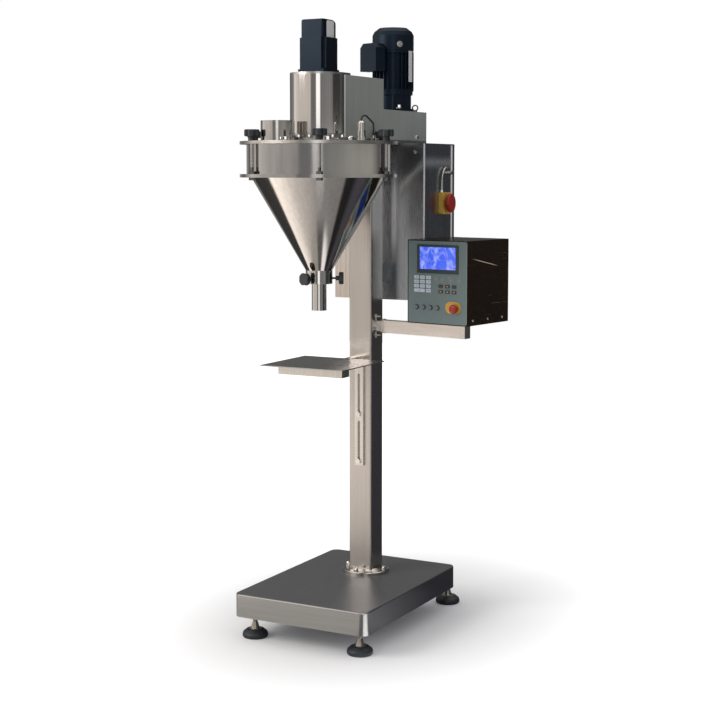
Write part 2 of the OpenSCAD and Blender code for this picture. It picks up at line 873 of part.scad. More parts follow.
// The two leads: the sensor's, and the side emergency stop's bent conduit
module leads() color("gray") {
    sensor_lead();
    stop_conduit();
}

// A lead's straight parts are this much thicker than its bends, and lap over their ends
sleeve = 0.2;
lap = 1;

// Part of a bend in the XZ plane, from one angle to another round its middle
module bend(x, z, bend_r, r, from, to) {
    translate([x, 0, z]) rotate([90, 0, 0]) rotate(from) rotate_extrude(angle = to - from) {
        translate([bend_r, 0]) circle(r);
    }
}

// Straight part between two bends in the XZ plane, leaning from upright round its middle
module straight(x, z, lean, length, r) {
    translate([x, 0, z]) rotate([0, lean, 0]) cylinder(r = r + sleeve, h = length + 2 * lap, center = true);
}

// Out of the sensor's top, over a bend, slanting down, and round a second bend into the gland
module sensor_lead() {
    lead_r = 2.5;
    gap_x = gland_x - sensor_x;
    gap_y = gland_y - sensor_y;
    span = sqrt(gap_x * gap_x + gap_y * gap_y);
    top = sensor_h + 4;
    first_r = 12;
    second_r = 10;
    slant = 50;
    x1 = first_r * (1 + cos(slant));
    z1 = top + first_r * sin(slant);
    x2 = span - second_r * (1 - cos(slant));
    long = (x2 - x1) / sin(slant);
    z2 = z1 - long * cos(slant);
    low = z2 - second_r * sin(slant);
    at_hopper(head_z) translate([sensor_x, sensor_y, 0]) rotate(atan2(gap_y, gap_x)) {
        translate([0, 0, sensor_h]) cylinder(r = lead_r + sleeve, h = top + lap - sensor_h);
        bend(first_r, top, first_r, lead_r, slant, 180);
        straight((x1 + x2) / 2, (z1 + z2) / 2, -slant, long, lead_r);
        bend(span - second_r, low, second_r, lead_r, 0, slant);
        translate([span, 0, gland_h]) cylinder(r = lead_r + sleeve, h = low + lap - gland_h);
    }
}

// Straight band of the hopper with its lower flange
module hopper_band() color("silver") {
    at_hopper(rim_z) difference() {
        union() {
            cylinder(r = lid_r, h = rim_t);
            cylinder(r = band_r, h = rim_t + band_h - body_gap);
        }
        translate([0, 0, rim_t]) cylinder(r = band_r - hopper_wall, h = band_h + cut);
        translate([0, 0, -cut]) cylinder(r = cone_top_r - hopper_wall, h = rim_t + 2 * cut);
        translate([0, 0, -cut]) at_clamps() cylinder(d = rod_d + 2 * seat_gap, h = rim_t + 2 * cut);
    }
}

module hopper_cone() color("silver") {
    slant = hopper_wall / cos(atan2(cone_top_r - cone_low_r, cone_h));
    at_hopper(cone_z) difference() {
        cylinder(r1 = cone_low_r, r2 = cone_top_r, h = cone_h);
        steep = (cone_top_r - cone_low_r) / cone_h;
        translate([0, 0, -cut]) {
            cylinder(r1 = cone_low_r - slant - steep * cut, r2 = cone_top_r - slant + steep * cut,
                h = cone_h + 2 * cut);
        }
    }
}

nozzle_top_r = nozzle_r + 8;
collar_seat = 12;
// Angles of the two clamping knobs from the machine's right: front and right
collar_knob_turns = [-100, 28];

// Collar that clamps the nozzle below the cone
module nozzle_collar() color("silver") {
    wall_r = cone_low_r;
    at_hopper(collar_z) difference() {
        cylinder(r = wall_r, h = collar_h);
        translate([0, 0, -cut]) cylinder(r = nozzle_r + seat_gap, h = collar_h);
        translate([0, 0, collar_seat]) cylinder(r = nozzle_top_r + seat_gap, h = collar_h);
        for (a = collar_knob_turns) rotate(a) translate([0, 0, collar_h / 2 - 4]) rotate([0, 90, 0]) {
            translate([0, 0, nozzle_top_r - cut]) cylinder(r = screw_r + fit_gap, h = wall_r);
        }
    }
}

// Polished filling tube, relieved inside the collar, with the head that the collar holds
module filling_nozzle() color("silver") {
    seat_z = collar_z + collar_seat;
    neck_z = collar_z - 1;
    funnel_h = 12;
    at_hopper(0) difference() {
        union() {
            translate([0, 0, nozzle_z]) cylinder(r = nozzle_r, h = neck_z - nozzle_z);
            translate([0, 0, neck_z - cut]) cylinder(r = nozzle_r - 1, h = seat_z - neck_z + 2 * cut);
            translate([0, 0, seat_z]) cylinder(r = nozzle_top_r, h = cone_z - seat_z);
        }
        translate([0, 0, nozzle_z - cut]) cylinder(r = bore_r, h = cone_z - nozzle_z + 2 * cut);
        translate([0, 0, cone_z - funnel_h]) {
            cylinder(r1 = bore_r, r2 = nozzle_top_r - 1.5, h = funnel_h + seat_gap);
        }
    }
}

// Six clamping rods from the flange through the lid, each with its nut
module clamp_rods() color("gainsboro") {
    at_hopper(0) at_clamps() {
        translate([0, 0, rim_z - 6]) cylinder(d = rod_d, h = head_z + 24 - rim_z + 6);
        for (z = [rim_z - 8, rim_top]) translate([0, 0, z]) rotate(30) hex_head(17, 8);
    }
}

// Star knob: hub and lobed head with rounded rims, Z along its axis; dip is the radius of the
// round hollows between the lobes as a share of the knob's diameter
module star_knob(d, head, hub, hub_d, lobe_n, dip) {
    r = d / 2;
    rim = 2.5;
    difference() {
        rotate_extrude() polygon([[0, 0], [hub_d / 2, 0], [hub_d / 2, hub], [r - rim, hub], [r, hub + rim],
            [r, hub + head - rim], [r - rim, hub + head], [0, hub + head]]);
        for (i = [0 : lobe_n - 1]) rotate((i + 0.5) * 360 / lobe_n) {
            translate([(0.41 + dip) * d, 0, hub - cut]) cylinder(r = dip * d, h = head + 2 * cut);
        }
    }
}

// Knob on one of the clamping rods, with its blind thread
module lid_knob(i) color("black") {
    at_hopper(head_z + body_gap) rotate((i - 1) * 360 / clamp_n) translate([rod_ring_r, 0, 0]) difference() {
        star_knob(knob_d, knob_h, hub_h, knob_d * 0.48, 6, 0.2);
        translate([0, 0, -cut]) cylinder(r = rod_d / 2 + fit_gap, h = 25 + cut);
    }
}

screw_r = 3;

// Four-lobed knob with its clamping screw, at an angle round the collar
module collar_knob(a) color("black") {
    small_d = 38;
    at_hopper(collar_z + collar_h / 2 - 4) rotate(a) rotate([0, 90, 0]) {
        translate([0, 0, nozzle_top_r + body_gap]) cylinder(r = screw_r, h = cone_low_r + 14 - nozzle_top_r);
        translate([0, 0, cone_low_r + 9.5]) rotate(45) star_knob(small_d, 14, 9.5, 14, 4, 0.27);
    }
}

// Tray

tray_back = -half_column - tray_gap;
tray_front = tray_back - tray_d;
bar_front = -half_column - body_gap - bar_t;
bolt_z = tray_z - 188.5;
slot_half = slot_bolt_d / 2 + 0.25;

module tray_plate() color("lightgray") {
    translate([-tray_w / 2, tray_front, tray_z - tray_t]) cube([tray_w, tray_d, tray_t]);
}

// Welded bracket: slotted bar, arm and cross beam
module tray_bracket() color("silver") {
    under = tray_z - tray_t;
    arm_half = 0.4 * bar_w;
    arm_depth = 0.8 * beam_h;
    beam_back = tray_back - 0.63 * tray_d;
    beam_d = 0.17 * tray_d;
    wall = 3;
    foot = 14;
    difference() {
        union() {
            block(-bar_w / 2, bar_w / 2, bar_front, bar_front + bar_t, bolt_z - slot_pitch - foot, under);
            block(-arm_half, arm_half, beam_back, bar_front + 1, under - arm_depth, under);
            block(-beam_w / 2, beam_w / 2, beam_back - beam_d, beam_back, under - beam_h, under);
        }
        for (z = [bolt_z, bolt_z - slot_pitch]) slot(z);
        translate([0, 0, -wall]) block(-beam_w / 2 + wall, beam_w / 2 - wall,
            beam_back - beam_d + wall, beam_back - wall, under - beam_h - cut, under);
    }
}

// One slot through the bar; its lower end holds the bolt at rest
module slot(z) {
    translate([0, bar_front - cut, z]) rotate([-90, 0, 0]) linear_extrude(bar_t + 2 * cut) {
        circle(slot_half);
        translate([0, -tray_travel - 5]) circle(slot_half);
        translate([-slot_half, -tray_travel - 5]) square([2 * slot_half, tray_travel + 5]);
    }
}

// Two bolts with washers that clamp the slotted bar on the column
module slide_bolts() color("gainsboro") {
    for (z = [bolt_z, bolt_z - slot_pitch]) translate([0, -half_column, z]) rotate([90, 0, 0]) {
        cylinder(d = slot_bolt_d, h = bar_t + 2 * body_gap + 2);
        translate([0, 0, bar_t + 2 * body_gap]) cylinder(d = 2 * slot_bolt_d, h = 1.6);
        translate([0, 0, bar_t + 2 * body_gap + 1.6]) cylinder(d = 1.6 * slot_bolt_d, h = 0.65 * slot_bolt_d);
    }
}

// Electrical cabinet

hinge_r = 7;
hinge_pin_r = 3;
hinge_x = -cabinet_w / 2 - hinge_r - 1;
hinge_y = cabinet_back + door_gap;
hinge_half = 30;

function hinge_levels() = [cabinet_z + 90, cabinet_z + cabinet_h - 90];

// Two box spacers between the column and the cabinet
module cabinet_brackets() color("gray") {
    wall = 4;
    half = 0.4 * column_w;
    half_z = 0.06 * cabinet_h;
    for (z = hinge_levels()) difference() {
        block(-half, half, half_column, cabinet_front, z - half_z, z + half_z);
        block(-half + wall, half - wall, half_column - cut, cabinet_front + cut,
            z - half_z + wall, z + half_z - wall);
    }
}

module cabinet_shell() color("silver") {
    lip = 16;
    half = cabinet_w / 2;
    top = cabinet_z + cabinet_h;
    difference() {
        union() {
            block(-half, half, cabinet_front, cabinet_back, cabinet_z, top);
            for (z = hinge_levels()) hinge_half_pair(z);
        }
        block(-half + cabinet_skin, half - cabinet_skin, cabinet_front + cabinet_skin,
            cabinet_back - cabinet_skin, cabinet_z + cabinet_skin, top - cabinet_skin);
        block(-half + lip, half - lip, cabinet_front + lip, cabinet_back + cut,
            cabinet_z + lip, top - lip);
    }
}

// The cabinet's half of a hinge: lower knuckle, its pin and its leaf
module hinge_half_pair(z) {
    translate([hinge_x, hinge_y, z - hinge_half]) {
        cylinder(r = hinge_r, h = hinge_half);
        cylinder(r = hinge_pin_r, h = 2 * hinge_half);
    }
    translate([hinge_x, hinge_y - 34, z - hinge_half]) {
        cube([-cabinet_w / 2 - hinge_x + cut, 34 - door_gap, hinge_half]);
    }
}

standoff = 6;
plate_t = 3;
plate_y = cabinet_front + cabinet_skin + standoff;

// Inner mounting plate on its standoffs, with a rail of terminals
module mounting_plate() color("gainsboro") {
    half = 0.43 * cabinet_w;
    low = cabinet_z + 0.045 * cabinet_h;
    high = cabinet_z + 0.955 * cabinet_h;
    corner = 15;
    pitch = cabinet_w / 20;
    rail_z = low + 0.08 * cabinet_h;
    rail_h = 0.07 * cabinet_h;
    rail_t = 7;
    more = 10;
    terminal_d = 0.2 * cabinet_d;
    block(-half, half, plate_y, plate_y + plate_t, low, high);
    for (x = [-half + corner, half - corner], z = [low + corner, high - corner]) {
        translate([x, cabinet_front + cabinet_skin, z]) rotate([-90, 0, 0]) cylinder(r = 6, h = standoff + 1);
    }
    block(-half + corner, half - corner, plate_y + plate_t - 1, plate_y + plate_t + rail_t, rail_z,
        rail_z + rail_h);
    for (i = [1 : floor(2 * half / pitch) - 2]) {
        x = -half + i * pitch + corner / 2;
        block(x, x + 0.75 * pitch, plate_y + plate_t + rail_t - 1, plate_y + plate_t + rail_t + terminal_d,
            rail_z - more, rail_z + rail_h + more);
    }
}

// Servo drive with its cooling fins, motor inverter and power supply, on the mounting plate
module drive_units() color("dimgray") {
    y = plate_y + plate_t;
    low = cabinet_z + 0.3 * cabinet_h;
    deep = 0.67 * cabinet_d;
    drive_h = 0.38 * cabinet_h;
    drive_left = -0.39 * cabinet_w;
    drive_right = -0.2 * cabinet_w;
    fin_pitch = drive_h / 9.5;
    block(drive_left, drive_right, y, y + deep, low, low + drive_h);
    for (i = [0 : 8]) translate([0, 0, low + (i + 0.5) * fin_pitch]) {
        block(drive_right - 1, drive_right + 5, y, y + 0.92 * deep, 0, 0.3 * fin_pitch);
    }
    block(-0.11 * cabinet_w, 0.14 * cabinet_w, y, y + 0.88 * deep, low, low + 0.84 * drive_h);
    block(0.2 * cabinet_w, 0.375 * cabinet_w, y, y + 0.73 * deep, low + 0.1 * drive_h, low + 0.76 * drive_h);
}

lock_x = cabinet_w / 2 - 30;
lock_z = cabinet_z + cabinet_h / 2;
lock_r = 9;

// Tray-shaped door with its hinge knuckles
module cabinet_door() color("silver") {
    half = cabinet_w / 2;
    front = cabinet_back + door_gap;
    difference() {
        union() {
            block(-half, half, front, door_back, cabinet_z, cabinet_z + cabinet_h);
            for (z = hinge_levels()) translate([hinge_x, hinge_y, z + body_gap]) {
                cylinder(r = hinge_r, h = hinge_half);
                translate([0, 6, 0]) cube([-half - hinge_x + cut, 20, hinge_half]);
            }
        }
        block(-half + cabinet_skin, half - cabinet_skin, front - cut, door_back - cabinet_skin,
            cabinet_z + cabinet_skin, cabinet_z + cabinet_h - cabinet_skin);
        for (z = hinge_levels()) translate([hinge_x, hinge_y, z - 2 * cut]) {
            cylinder(r = hinge_pin_r + fit_gap, h = hinge_half + 4 * cut);
        }
        translate([lock_x, door_back - cabinet_skin - cut, lock_z]) rotate([-90, 0, 0]) {
            cylinder(r = lock_r + fit_gap, h = cabinet_skin + 2 * cut);
        }
    }
}

// Quarter-turn lock: head outside, barrel through the door and cam inside
module door_lock() color("gainsboro") {
    cam_y = cabinet_back - cabinet_skin - 3.5;
    translate([lock_x, 0, lock_z]) {
        translate([0, door_back + body_gap, 0]) rotate([-90, 0, 0]) difference() {
            cylinder(r = 13, h = lock_head_t);
            translate([-1.5, -8, lock_head_t - 2]) cube([3, 16, 2 + cut]);
        }
        translate([0, cam_y, 0]) rotate([-90, 0, 0]) cylinder(r = lock_r, h = door_back + 1 - cam_y);
        block(-8, 8, cam_y - 3, cam_y, -8, 24);
    }
}

// Emergency stop on the cabinet's side

stop_y = cabinet_back - 54;
stop_box_t = 14;
stop_half_z = 35;
stop_travel = 5;

// Yellow box of the emergency stop
module side_stop_box() color("gold") {
    half_y = 31;
    x = cabinet_w / 2;
    difference() {
        translate([x, stop_y, stop_z]) rotate([90, 0, 90]) linear_extrude(stop_box_t) {
            rounded_rect(2 * half_y, 2 * stop_half_z, 6);
        }
        translate([x + 2, stop_y, stop_z]) rotate([0, 90, 0]) cylinder(r = 11 + fit_gap, h = stop_box_t);
    }
}

// Conduit out of the stop's box, over a wide and a tighter bend, down to its entry in the cabinet
module stop_conduit() {
    r = 3;
    start = 24;
    rise = 27;
    lean = 35;
    wide_r = 70;
    tight_r = 30;
    last = 25;
    wide_x = -start + wide_r;
    tight_x = wide_x - (wide_r - tight_r) * cos(lean);
    tight_z = rise + (wide_r - tight_r) * sin(lean);
    translate([cabinet_w / 2 + stop_box_t / 2, stop_y, stop_z + stop_half_z]) {
        translate([0, -start, 0]) rotate(30) hex_head(11, 7);
        translate([0, -start, 0]) cylinder(r = r + sleeve, h = rise + lap);
        rotate(90) {
            bend(wide_x, rise, wide_r, r, 180 - lean, 180);
            straight(wide_x - wide_r * cos(lean), rise + wide_r * sin(lean), lean, 0, r);
            bend(tight_x, tight_z, tight_r, r, last, 180 - lean);
        }
        translate([-stop_box_t / 2, tight_x + tight_r * cos(last), tight_z + tight_r * sin(last)]) {
            rotate([0, 90, 0]) cylinder(r = 2 * r, h = stop_box_t / 2 + r + 2);
        }
    }
}

// Mushroom head on its plunger, Z outwards
module mushroom(head_r, head_h, stem_r, stem_l) {
    rotate_extrude() polygon([[0, -stem_l], [stem_r, -stem_l], [stem_r, 0], [head_r * 0.85, 0.06 * head_h],
        [head_r, 0.28 * head_h], [head_r, 0.5 * head_h], [head_r * 0.93, 0.74 * head_h],
        [head_r * 0.72, 0.9 * head_h], [head_r * 0.4, 0.98 * head_h], [0, head_h]]);
}

module side_stop_knob() color("red") {
    lift = stop_travel + 2;
    translate([cabinet_w / 2 + stop_box_t + lift, stop_y, stop_z]) rotate([0, 90, 0]) {
        mushroom(30.5, 15, 11, lift + 5);
    }
}

// Swing arm and control box

arm_low = arm_z - arm_h;
arm_wall = 3;

// Bracket on the column's right face: plate with two screws, round boss, tongue and pivot pin
module arm_bracket() color("silver") {
    plate_half = 14;
    plate_half_z = 38;
    screw_z = 29.5;
    tongue_half = 9;
    cap_r = 8;
    mid_z = (arm_low + arm_z) / 2;
    inner = arm_wall + body_gap;
    block(half_column, half_column + 2, arm_y - plate_half, arm_y + plate_half,
        mid_z - plate_half_z, mid_z + plate_half_z);
    translate([half_column, arm_y - 6, mid_z]) rotate([0, 90, 0]) cylinder(d = arm_h, h = boss_t);
    block(half_column + 1, arm_x, arm_y - tongue_half, arm_y + tongue_half, arm_low + inner, arm_z - inner);
    translate([arm_x, arm_y, 0]) {
        translate([0, 0, arm_low + inner]) cylinder(r = tongue_half, h = arm_h - 2 * inner);
        translate([0, 0, arm_low - body_gap - 1]) cylinder(d = pin_d, h = arm_h + 2 * body_gap + 2);
        for (z = [arm_low - body_gap - 2.5, arm_z + body_gap]) translate([0, 0, z]) cylinder(r = cap_r, h = 2.5);
    }
    for (z = [mid_z - screw_z, mid_z + screw_z]) translate([half_column + 1, arm_y, z]) {
        rotate([0, 90, 0]) cylinder(r = 3, h = 10);
    }
}

// Frame of the arm: origin at the pivot, X along the arm, Y to the back
module at_arm() {
    translate([arm_x, arm_y, 0]) rotate(-arm_turn) children();
}

// Box section, open at the pivot, where its top and bottom lie on the bracket's tongue
module swing_arm() color("silver") {
    side_start = 8;
    at_arm() difference() {
        union() {
            translate([0, 0, arm_low]) cylinder(r = knuckle_r, h = arm_h);
            block(0, arm_l, -arm_d / 2, arm_d / 2, arm_low, arm_z);
        }
        block(-knuckle_r - cut, arm_l - arm_wall, -arm_d / 2 + arm_wall, arm_d / 2 - arm_wall,
            arm_low + arm_wall, arm_z - arm_wall);
        block(-knuckle_r - cut, side_start, -arm_d / 2 - cut, arm_d / 2 + cut,
            arm_low + arm_wall, arm_z - arm_wall);
        translate([0, 0, arm_low - cut]) cylinder(d = pin_d + 2 * fit_gap, h = arm_h + 2 * cut);
    }
}

box_back = box_d - panel_lead;

module control_box() color("saddlebrown") {
    at_arm() difference() {
        block(box_reach, box_reach + box_w, -panel_lead, box_back, arm_z, arm_z + box_h);
        block(box_reach + box_wall, box_reach + box_w - box_wall, -panel_lead - cut, box_back - box_wall,
            arm_z + box_wall, arm_z + box_h - box_wall);
    }
}

// Places a part on the panel's front: u from its left edge, v up from its lower edge, Z outwards
module on_panel(u, v) {
    at_arm() translate([box_reach + u, -panel_lead, arm_z + v]) rotate([90, 0, 0]) children();
}

row_v = 51;
button_r = 6;
button_travel = 2;

function button_u(i) = 34.6 + (i - 1) * 25.6;

stop_u = 176;

// Front panel, set in the box's walls
module control_panel() color("slategray") {
    edge = box_wall + seat_gap;
    difference() {
        on_panel(edge, edge) translate([0, 0, -panel_t]) cube([box_w - 2 * edge, box_h - 2 * edge, panel_t]);
        for (i = [1 : 4]) on_panel(button_u(i), row_v) translate([0, 0, -panel_t - cut]) {
            cylinder(r = button_r + fit_gap, h = panel_t + 2 * cut);
        }
        on_panel(stop_u, row_v) translate([0, 0, -panel_t - cut]) {
            cylinder(r = 9 + fit_gap, h = panel_t + 2 * cut);
        }
    }
}

// Screen in its dark bezel
module display_window() color("royalblue") {
    screen_w = 151;
    screen_h = 87;
    u = 36.5;
    on_panel(u, box_h - screen_h - 14) difference() {
        cube([screen_w, screen_h, 2.5]);
        translate([9, 7, 1.5]) cube([screen_w - 18, screen_h - 14, 2]);
    }
}

// Push button with its collar in the panel
module panel_button(i) color("black") {
    on_panel(button_u(i), row_v) {
        translate([0, 0, -panel_t - button_travel]) cylinder(r = button_r, h = panel_t + button_travel + 4);
        translate([0, 0, 4]) cylinder(r1 = button_r, r2 = button_r - 1.5, h = 1.5);
    }
}

module panel_stop_knob() color("red") {
    on_panel(stop_u, row_v) translate([0, 0, stop_travel + 2]) mushroom(14, 9, 9, stop_travel + 2 + panel_t);
}

placed() base_cover();
placed() base_frame();
placed() levelling_feet();
placed() column();
placed() column_flange();
placed() flange_nuts();
placed() head_plate();
placed() cabinet_brackets();
placed() cabinet_shell();
placed() mounting_plate();
placed() drive_units();
placed() cabinet_door();
placed() door_lock();
placed() housing_shell();
placed() servo_cover();
placed() servo_stand();
placed() servo_motor();
placed() bearing_housing();
placed() bearings();
placed() drive_belt();
placed() gear_head();
placed() agitator_motor();
placed() fan_cowl();
placed() drive_pulley();
placed() agitator_shaft();
placed() agitator_blade();
placed() auger_shaft();
placed() auger_flight();
placed() lid_plate();
placed() feed_port();
placed() level_sensor();
placed() leads();
placed() hopper_band();
placed() hopper_cone();
placed() nozzle_collar();
placed() filling_nozzle();
placed() clamp_rods();
placed() lid_knob(1);  // lid_knob_1
placed() lid_knob(2);  // lid_knob_2
placed() lid_knob(3);  // lid_knob_3
placed() lid_knob(4);  // lid_knob_4
placed() lid_knob(5);  // lid_knob_5
placed() lid_knob(6);  // lid_knob_6
placed() collar_knob(collar_knob_turns[0]);  // collar_knob_front
placed() collar_knob(collar_knob_turns[1]);  // collar_knob_right
placed() tray_plate();
placed() tray_bracket();
placed() slide_bolts();
placed() arm_bracket();
placed() swing_arm();
placed() control_box();
placed() control_panel();
placed() display_window();
placed() panel_button(1);  // panel_button_1
placed() panel_button(2);  // panel_button_2
placed() panel_button(3);  // panel_button_3
placed() panel_button(4);  // panel_button_4
placed() panel_stop_knob();
placed() side_stop_box();
placed() side_stop_knob();
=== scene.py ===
import json
import math
import bpy
import bmesh
from mathutils import Matrix, Vector


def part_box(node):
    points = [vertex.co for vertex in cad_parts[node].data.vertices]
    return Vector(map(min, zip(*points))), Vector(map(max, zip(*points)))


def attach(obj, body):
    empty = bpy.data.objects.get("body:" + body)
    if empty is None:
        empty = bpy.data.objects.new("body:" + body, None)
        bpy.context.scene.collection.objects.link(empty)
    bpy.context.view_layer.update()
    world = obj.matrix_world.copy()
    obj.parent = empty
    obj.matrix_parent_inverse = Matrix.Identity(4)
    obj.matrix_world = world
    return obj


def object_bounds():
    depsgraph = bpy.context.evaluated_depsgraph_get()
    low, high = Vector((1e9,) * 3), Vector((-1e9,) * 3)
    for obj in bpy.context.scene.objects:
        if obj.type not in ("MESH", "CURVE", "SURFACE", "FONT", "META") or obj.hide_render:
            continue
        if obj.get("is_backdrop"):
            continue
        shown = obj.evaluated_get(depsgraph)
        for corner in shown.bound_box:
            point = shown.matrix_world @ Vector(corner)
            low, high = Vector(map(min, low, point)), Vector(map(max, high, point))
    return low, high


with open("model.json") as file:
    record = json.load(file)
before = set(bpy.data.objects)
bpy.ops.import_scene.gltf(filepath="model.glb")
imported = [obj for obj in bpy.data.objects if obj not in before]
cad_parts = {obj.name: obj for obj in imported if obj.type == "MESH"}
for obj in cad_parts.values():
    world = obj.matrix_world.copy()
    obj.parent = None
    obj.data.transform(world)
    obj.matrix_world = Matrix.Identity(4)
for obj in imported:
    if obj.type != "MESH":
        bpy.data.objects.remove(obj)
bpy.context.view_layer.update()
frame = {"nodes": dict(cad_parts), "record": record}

bpy.ops.object.select_all(action="DESELECT")


# ---- Base
# A folded cover of brushed stainless sheet over a welded frame. The sheet is
# brushed from side to side, and its corners are ground smooth.
class Surface:
    """A value that changes over a surface. Arithmetic on it adds Math nodes."""

    def __init__(self, finish, out):
        self.finish = finish
        self.out = out

    def math(self, operation, *values):
        return self.finish.node("ShaderNodeMath", {"operation": operation}, dict(enumerate(values)))

    def __add__(self, other):
        return self.math("ADD", self, other)

    def __sub__(self, other):
        return self.math("SUBTRACT", self, other)

    def __rsub__(self, other):
        return self.math("SUBTRACT", other, self)

    def __mul__(self, other):
        return self.math("MULTIPLY", self, other)

    def __truediv__(self, other):
        return self.math("DIVIDE", self, other)

    def __neg__(self):
        return self * -1

    __radd__, __rmul__ = __add__, __mul__

    def above(self, level, soft):
        """0 below the level and 1 above it, blended over a soft width."""
        return self.finish.node("ShaderNodeMapRange", {"interpolation_type": "SMOOTHSTEP"},
                                {0: self, 1: level - soft / 2, 2: level + soft / 2})

    def within(self, low, high, soft):
        """1 between two levels and 0 outside them."""
        return self.above(low, soft) * (1 - self.above(high, soft))

    def length(self, other):
        return self.math("SQRT", self * self + other * other)

    def capped(self):
        """At most 1."""
        return self.math("MINIMUM", self, 1.0)


class Finish:
    """A material under construction: node() adds any node to it."""

    def __init__(self, name):
        self.material = bpy.data.materials.new(name)
        self.material.use_nodes = True
        self.tree = self.material.node_tree
        self.shader = self.tree.nodes["Principled BSDF"]
        self.end = self.tree.nodes["Material Output"]
        self.place = self.node("ShaderNodeTexCoord", {}, {}, out="Object")

    def node(self, kind, settings, inputs, out=0):
        made = self.tree.nodes.new(kind)
        for key, value in settings.items():
            setattr(made, key, value)
        for key, value in inputs.items():
            self.put(made.inputs[key], value)
        return Surface(self, made.outputs[out])

    def put(self, socket, value):
        if isinstance(value, Surface):
            self.tree.links.new(value.out, socket)
        else:
            socket.default_value = value

    def set(self, **values):
        """Sets the main shader's sockets: base_color=..., roughness=..."""
        for key, value in values.items():
            name = key.replace("_", " ").title().replace("Ior", "IOR")
            self.put(self.shader.inputs[name], value)

    def xyz(self):
        parts = self.tree.nodes.new("ShaderNodeSeparateXYZ")
        self.tree.links.new(self.place.out, parts.inputs[0])
        return [Surface(self, parts.outputs[i]) for i in range(3)]

    def noise(self, scale, detail=3.0, stretch=(1, 1, 1), rough=0.5):
        place = self.node("ShaderNodeMapping", {}, {0: self.place, 3: stretch})
        return self.node("ShaderNodeTexNoise", {},
                         {"Vector": place, "Scale": scale, "Detail": detail, "Roughness": rough})

    def blend(self, factor, first, second):
        """A colour between two, by a factor."""
        return self.node("ShaderNodeMix", {"data_type": "RGBA"}, {0: factor, 6: first, 7: second}, out=2)

    def bump(self, height, depth, strength=1.0):
        return self.node("ShaderNodeBump", {}, {"Strength": strength, "Distance": depth, "Height": height})


def steel(name, tone, rough, grain, smudge=0.05, metal=1.0, bands=0.0):
    """Stainless steel: grain is how the brush lines stretch along X, Y and Z, bands how
    strongly the sheet's tone changes over its width."""
    f = Finish(name)
    lines = f.noise(1.0, 4.0, grain, 0.65)
    cloud = f.noise(3.0, 3.0)
    wide = f.noise(1.0, 2.0, [min(g, 16) for g in grain])
    tone_shift = (cloud - 0.5) * 0.3 + (lines - 0.5) * 0.7 + (wide - 0.5) * (bands * 4)
    dark = [c * 0.72 for c in tone] + [1]
    light = [min(1, c * 1.28) for c in tone] + [1]
    f.set(base_color=f.blend(0.5 + tone_shift, dark, light), metallic=metal,
          roughness=rough + (cloud - 0.5) * smudge * 2 + (lines - 0.5) * 0.06,
          normal=f.bump(lines, 0.00001, 0.5))
    return f


def dress(finish, *nodes):
    """Puts a finish on CAD nodes."""
    for name in nodes:
        piece = frame["nodes"][name]
        piece.data.materials.clear()
        piece.data.materials.append(finish.material)


plate_steel = steel("base sheet brushed across", (0.62, 0.61, 0.60), 0.20, (4, 300, 300), smudge=0.04)
cover_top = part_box("base_cover")[1][2]
on_top = plate_steel.xyz()[2].above(cover_top - 0.0015, 0.001)
haze = plate_steel.noise(11.0, 4.0, rough=0.6)
brushed = plate_steel.noise(1.0, 4.0, (4, 300, 300), 0.65)
grit = plate_steel.noise(260.0, 4.0, rough=0.8)
# The cover's top is given a far darker, less metallic tone than its sides: painted shade.
edge_tone = plate_steel.blend(brushed, (0.50, 0.49, 0.48, 1), (0.76, 0.75, 0.74, 1))
painted_dark_top = plate_steel.blend(grit, (0.07, 0.07, 0.073, 1), (0.27, 0.27, 0.28, 1))
plate_steel.set(roughness=0.17 + on_top * 0.20 + (haze - 0.5) * 0.14, metallic=1 - on_top * 0.5,
                base_color=plate_steel.blend(on_top, edge_tone, painted_dark_top))
dress(plate_steel, "base_cover")
dress(steel("welded frame", (0.30, 0.30, 0.31), 0.5, (60, 60, 60)), "base_frame")


# ---- Levelling feet
# Pads of black rubber below the flared ends of steel stems. The stems are
# threaded, and the rubber has a satin skin that dust dulls near the floor.
stem_foot, thread_foot, thread_rate = 0.0257, 0.049, 3600
foot = Finish("rubber foot on a plated stem")
z = foot.xyz()[2]
stem = z.above(stem_foot, 0.0008)
winding = z * thread_rate
thread = winding.math("SINE", winding) * z.above(thread_foot, 0.001) * 0.5 + 0.5
dust = foot.noise(60.0, 4.0)
rubber = foot.blend(dust, (0.012, 0.016, 0.021, 1), (0.035, 0.042, 0.050, 1))
foot.set(
    base_color=foot.blend(stem, rubber, (0.42, 0.38, 0.33, 1)),
    metallic=stem,
    roughness=stem * -0.22 + 0.5 + (dust - 0.5) * 0.2,
    normal=foot.bump(stem * thread * 0.5 + dust * 0.05, 0.0006, 0.8))
dress(foot, "levelling_feet")


# ---- Column
# A square stainless tube with a ground grain along its length, its round foot
# flange and the domed nuts that hold it down. The hopper's clamping rods and
# other polished parts follow; the rods' lower nuts are darker.
dress(steel("column brushed along", (0.545, 0.505, 0.47), 0.24, (260, 260, 3), smudge=0.03, bands=0.05),
      "column")
dress(steel("turned flange", (0.66, 0.62, 0.57), 0.17, (70, 70, 260)), "column_flange")
bright = steel("polished steel", (0.70, 0.68, 0.66), 0.10, (30, 30, 30), smudge=0.04)
rod_tone, rod_rough = (0.52, 0.50, 0.48), 0.20
nut_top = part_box("hopper_band")[0][2] + 0.030
rods = steel("turned rods", rod_tone, rod_rough, (60, 60, 260))
nuts = 1 - rods.xyz()[2].above(nut_top, 0.006)
rods.set(base_color=rods.blend(nuts, (*rod_tone, 1), (0.14, 0.14, 0.14, 1)),
         roughness=rod_rough + nuts * 0.15)
dress(rods, "clamp_rods")
dress(bright, "flange_nuts", "slide_bolts", "level_sensor", "bearings", "auger_flight",
      "auger_shaft", "agitator_shaft", "agitator_blade", "door_lock")

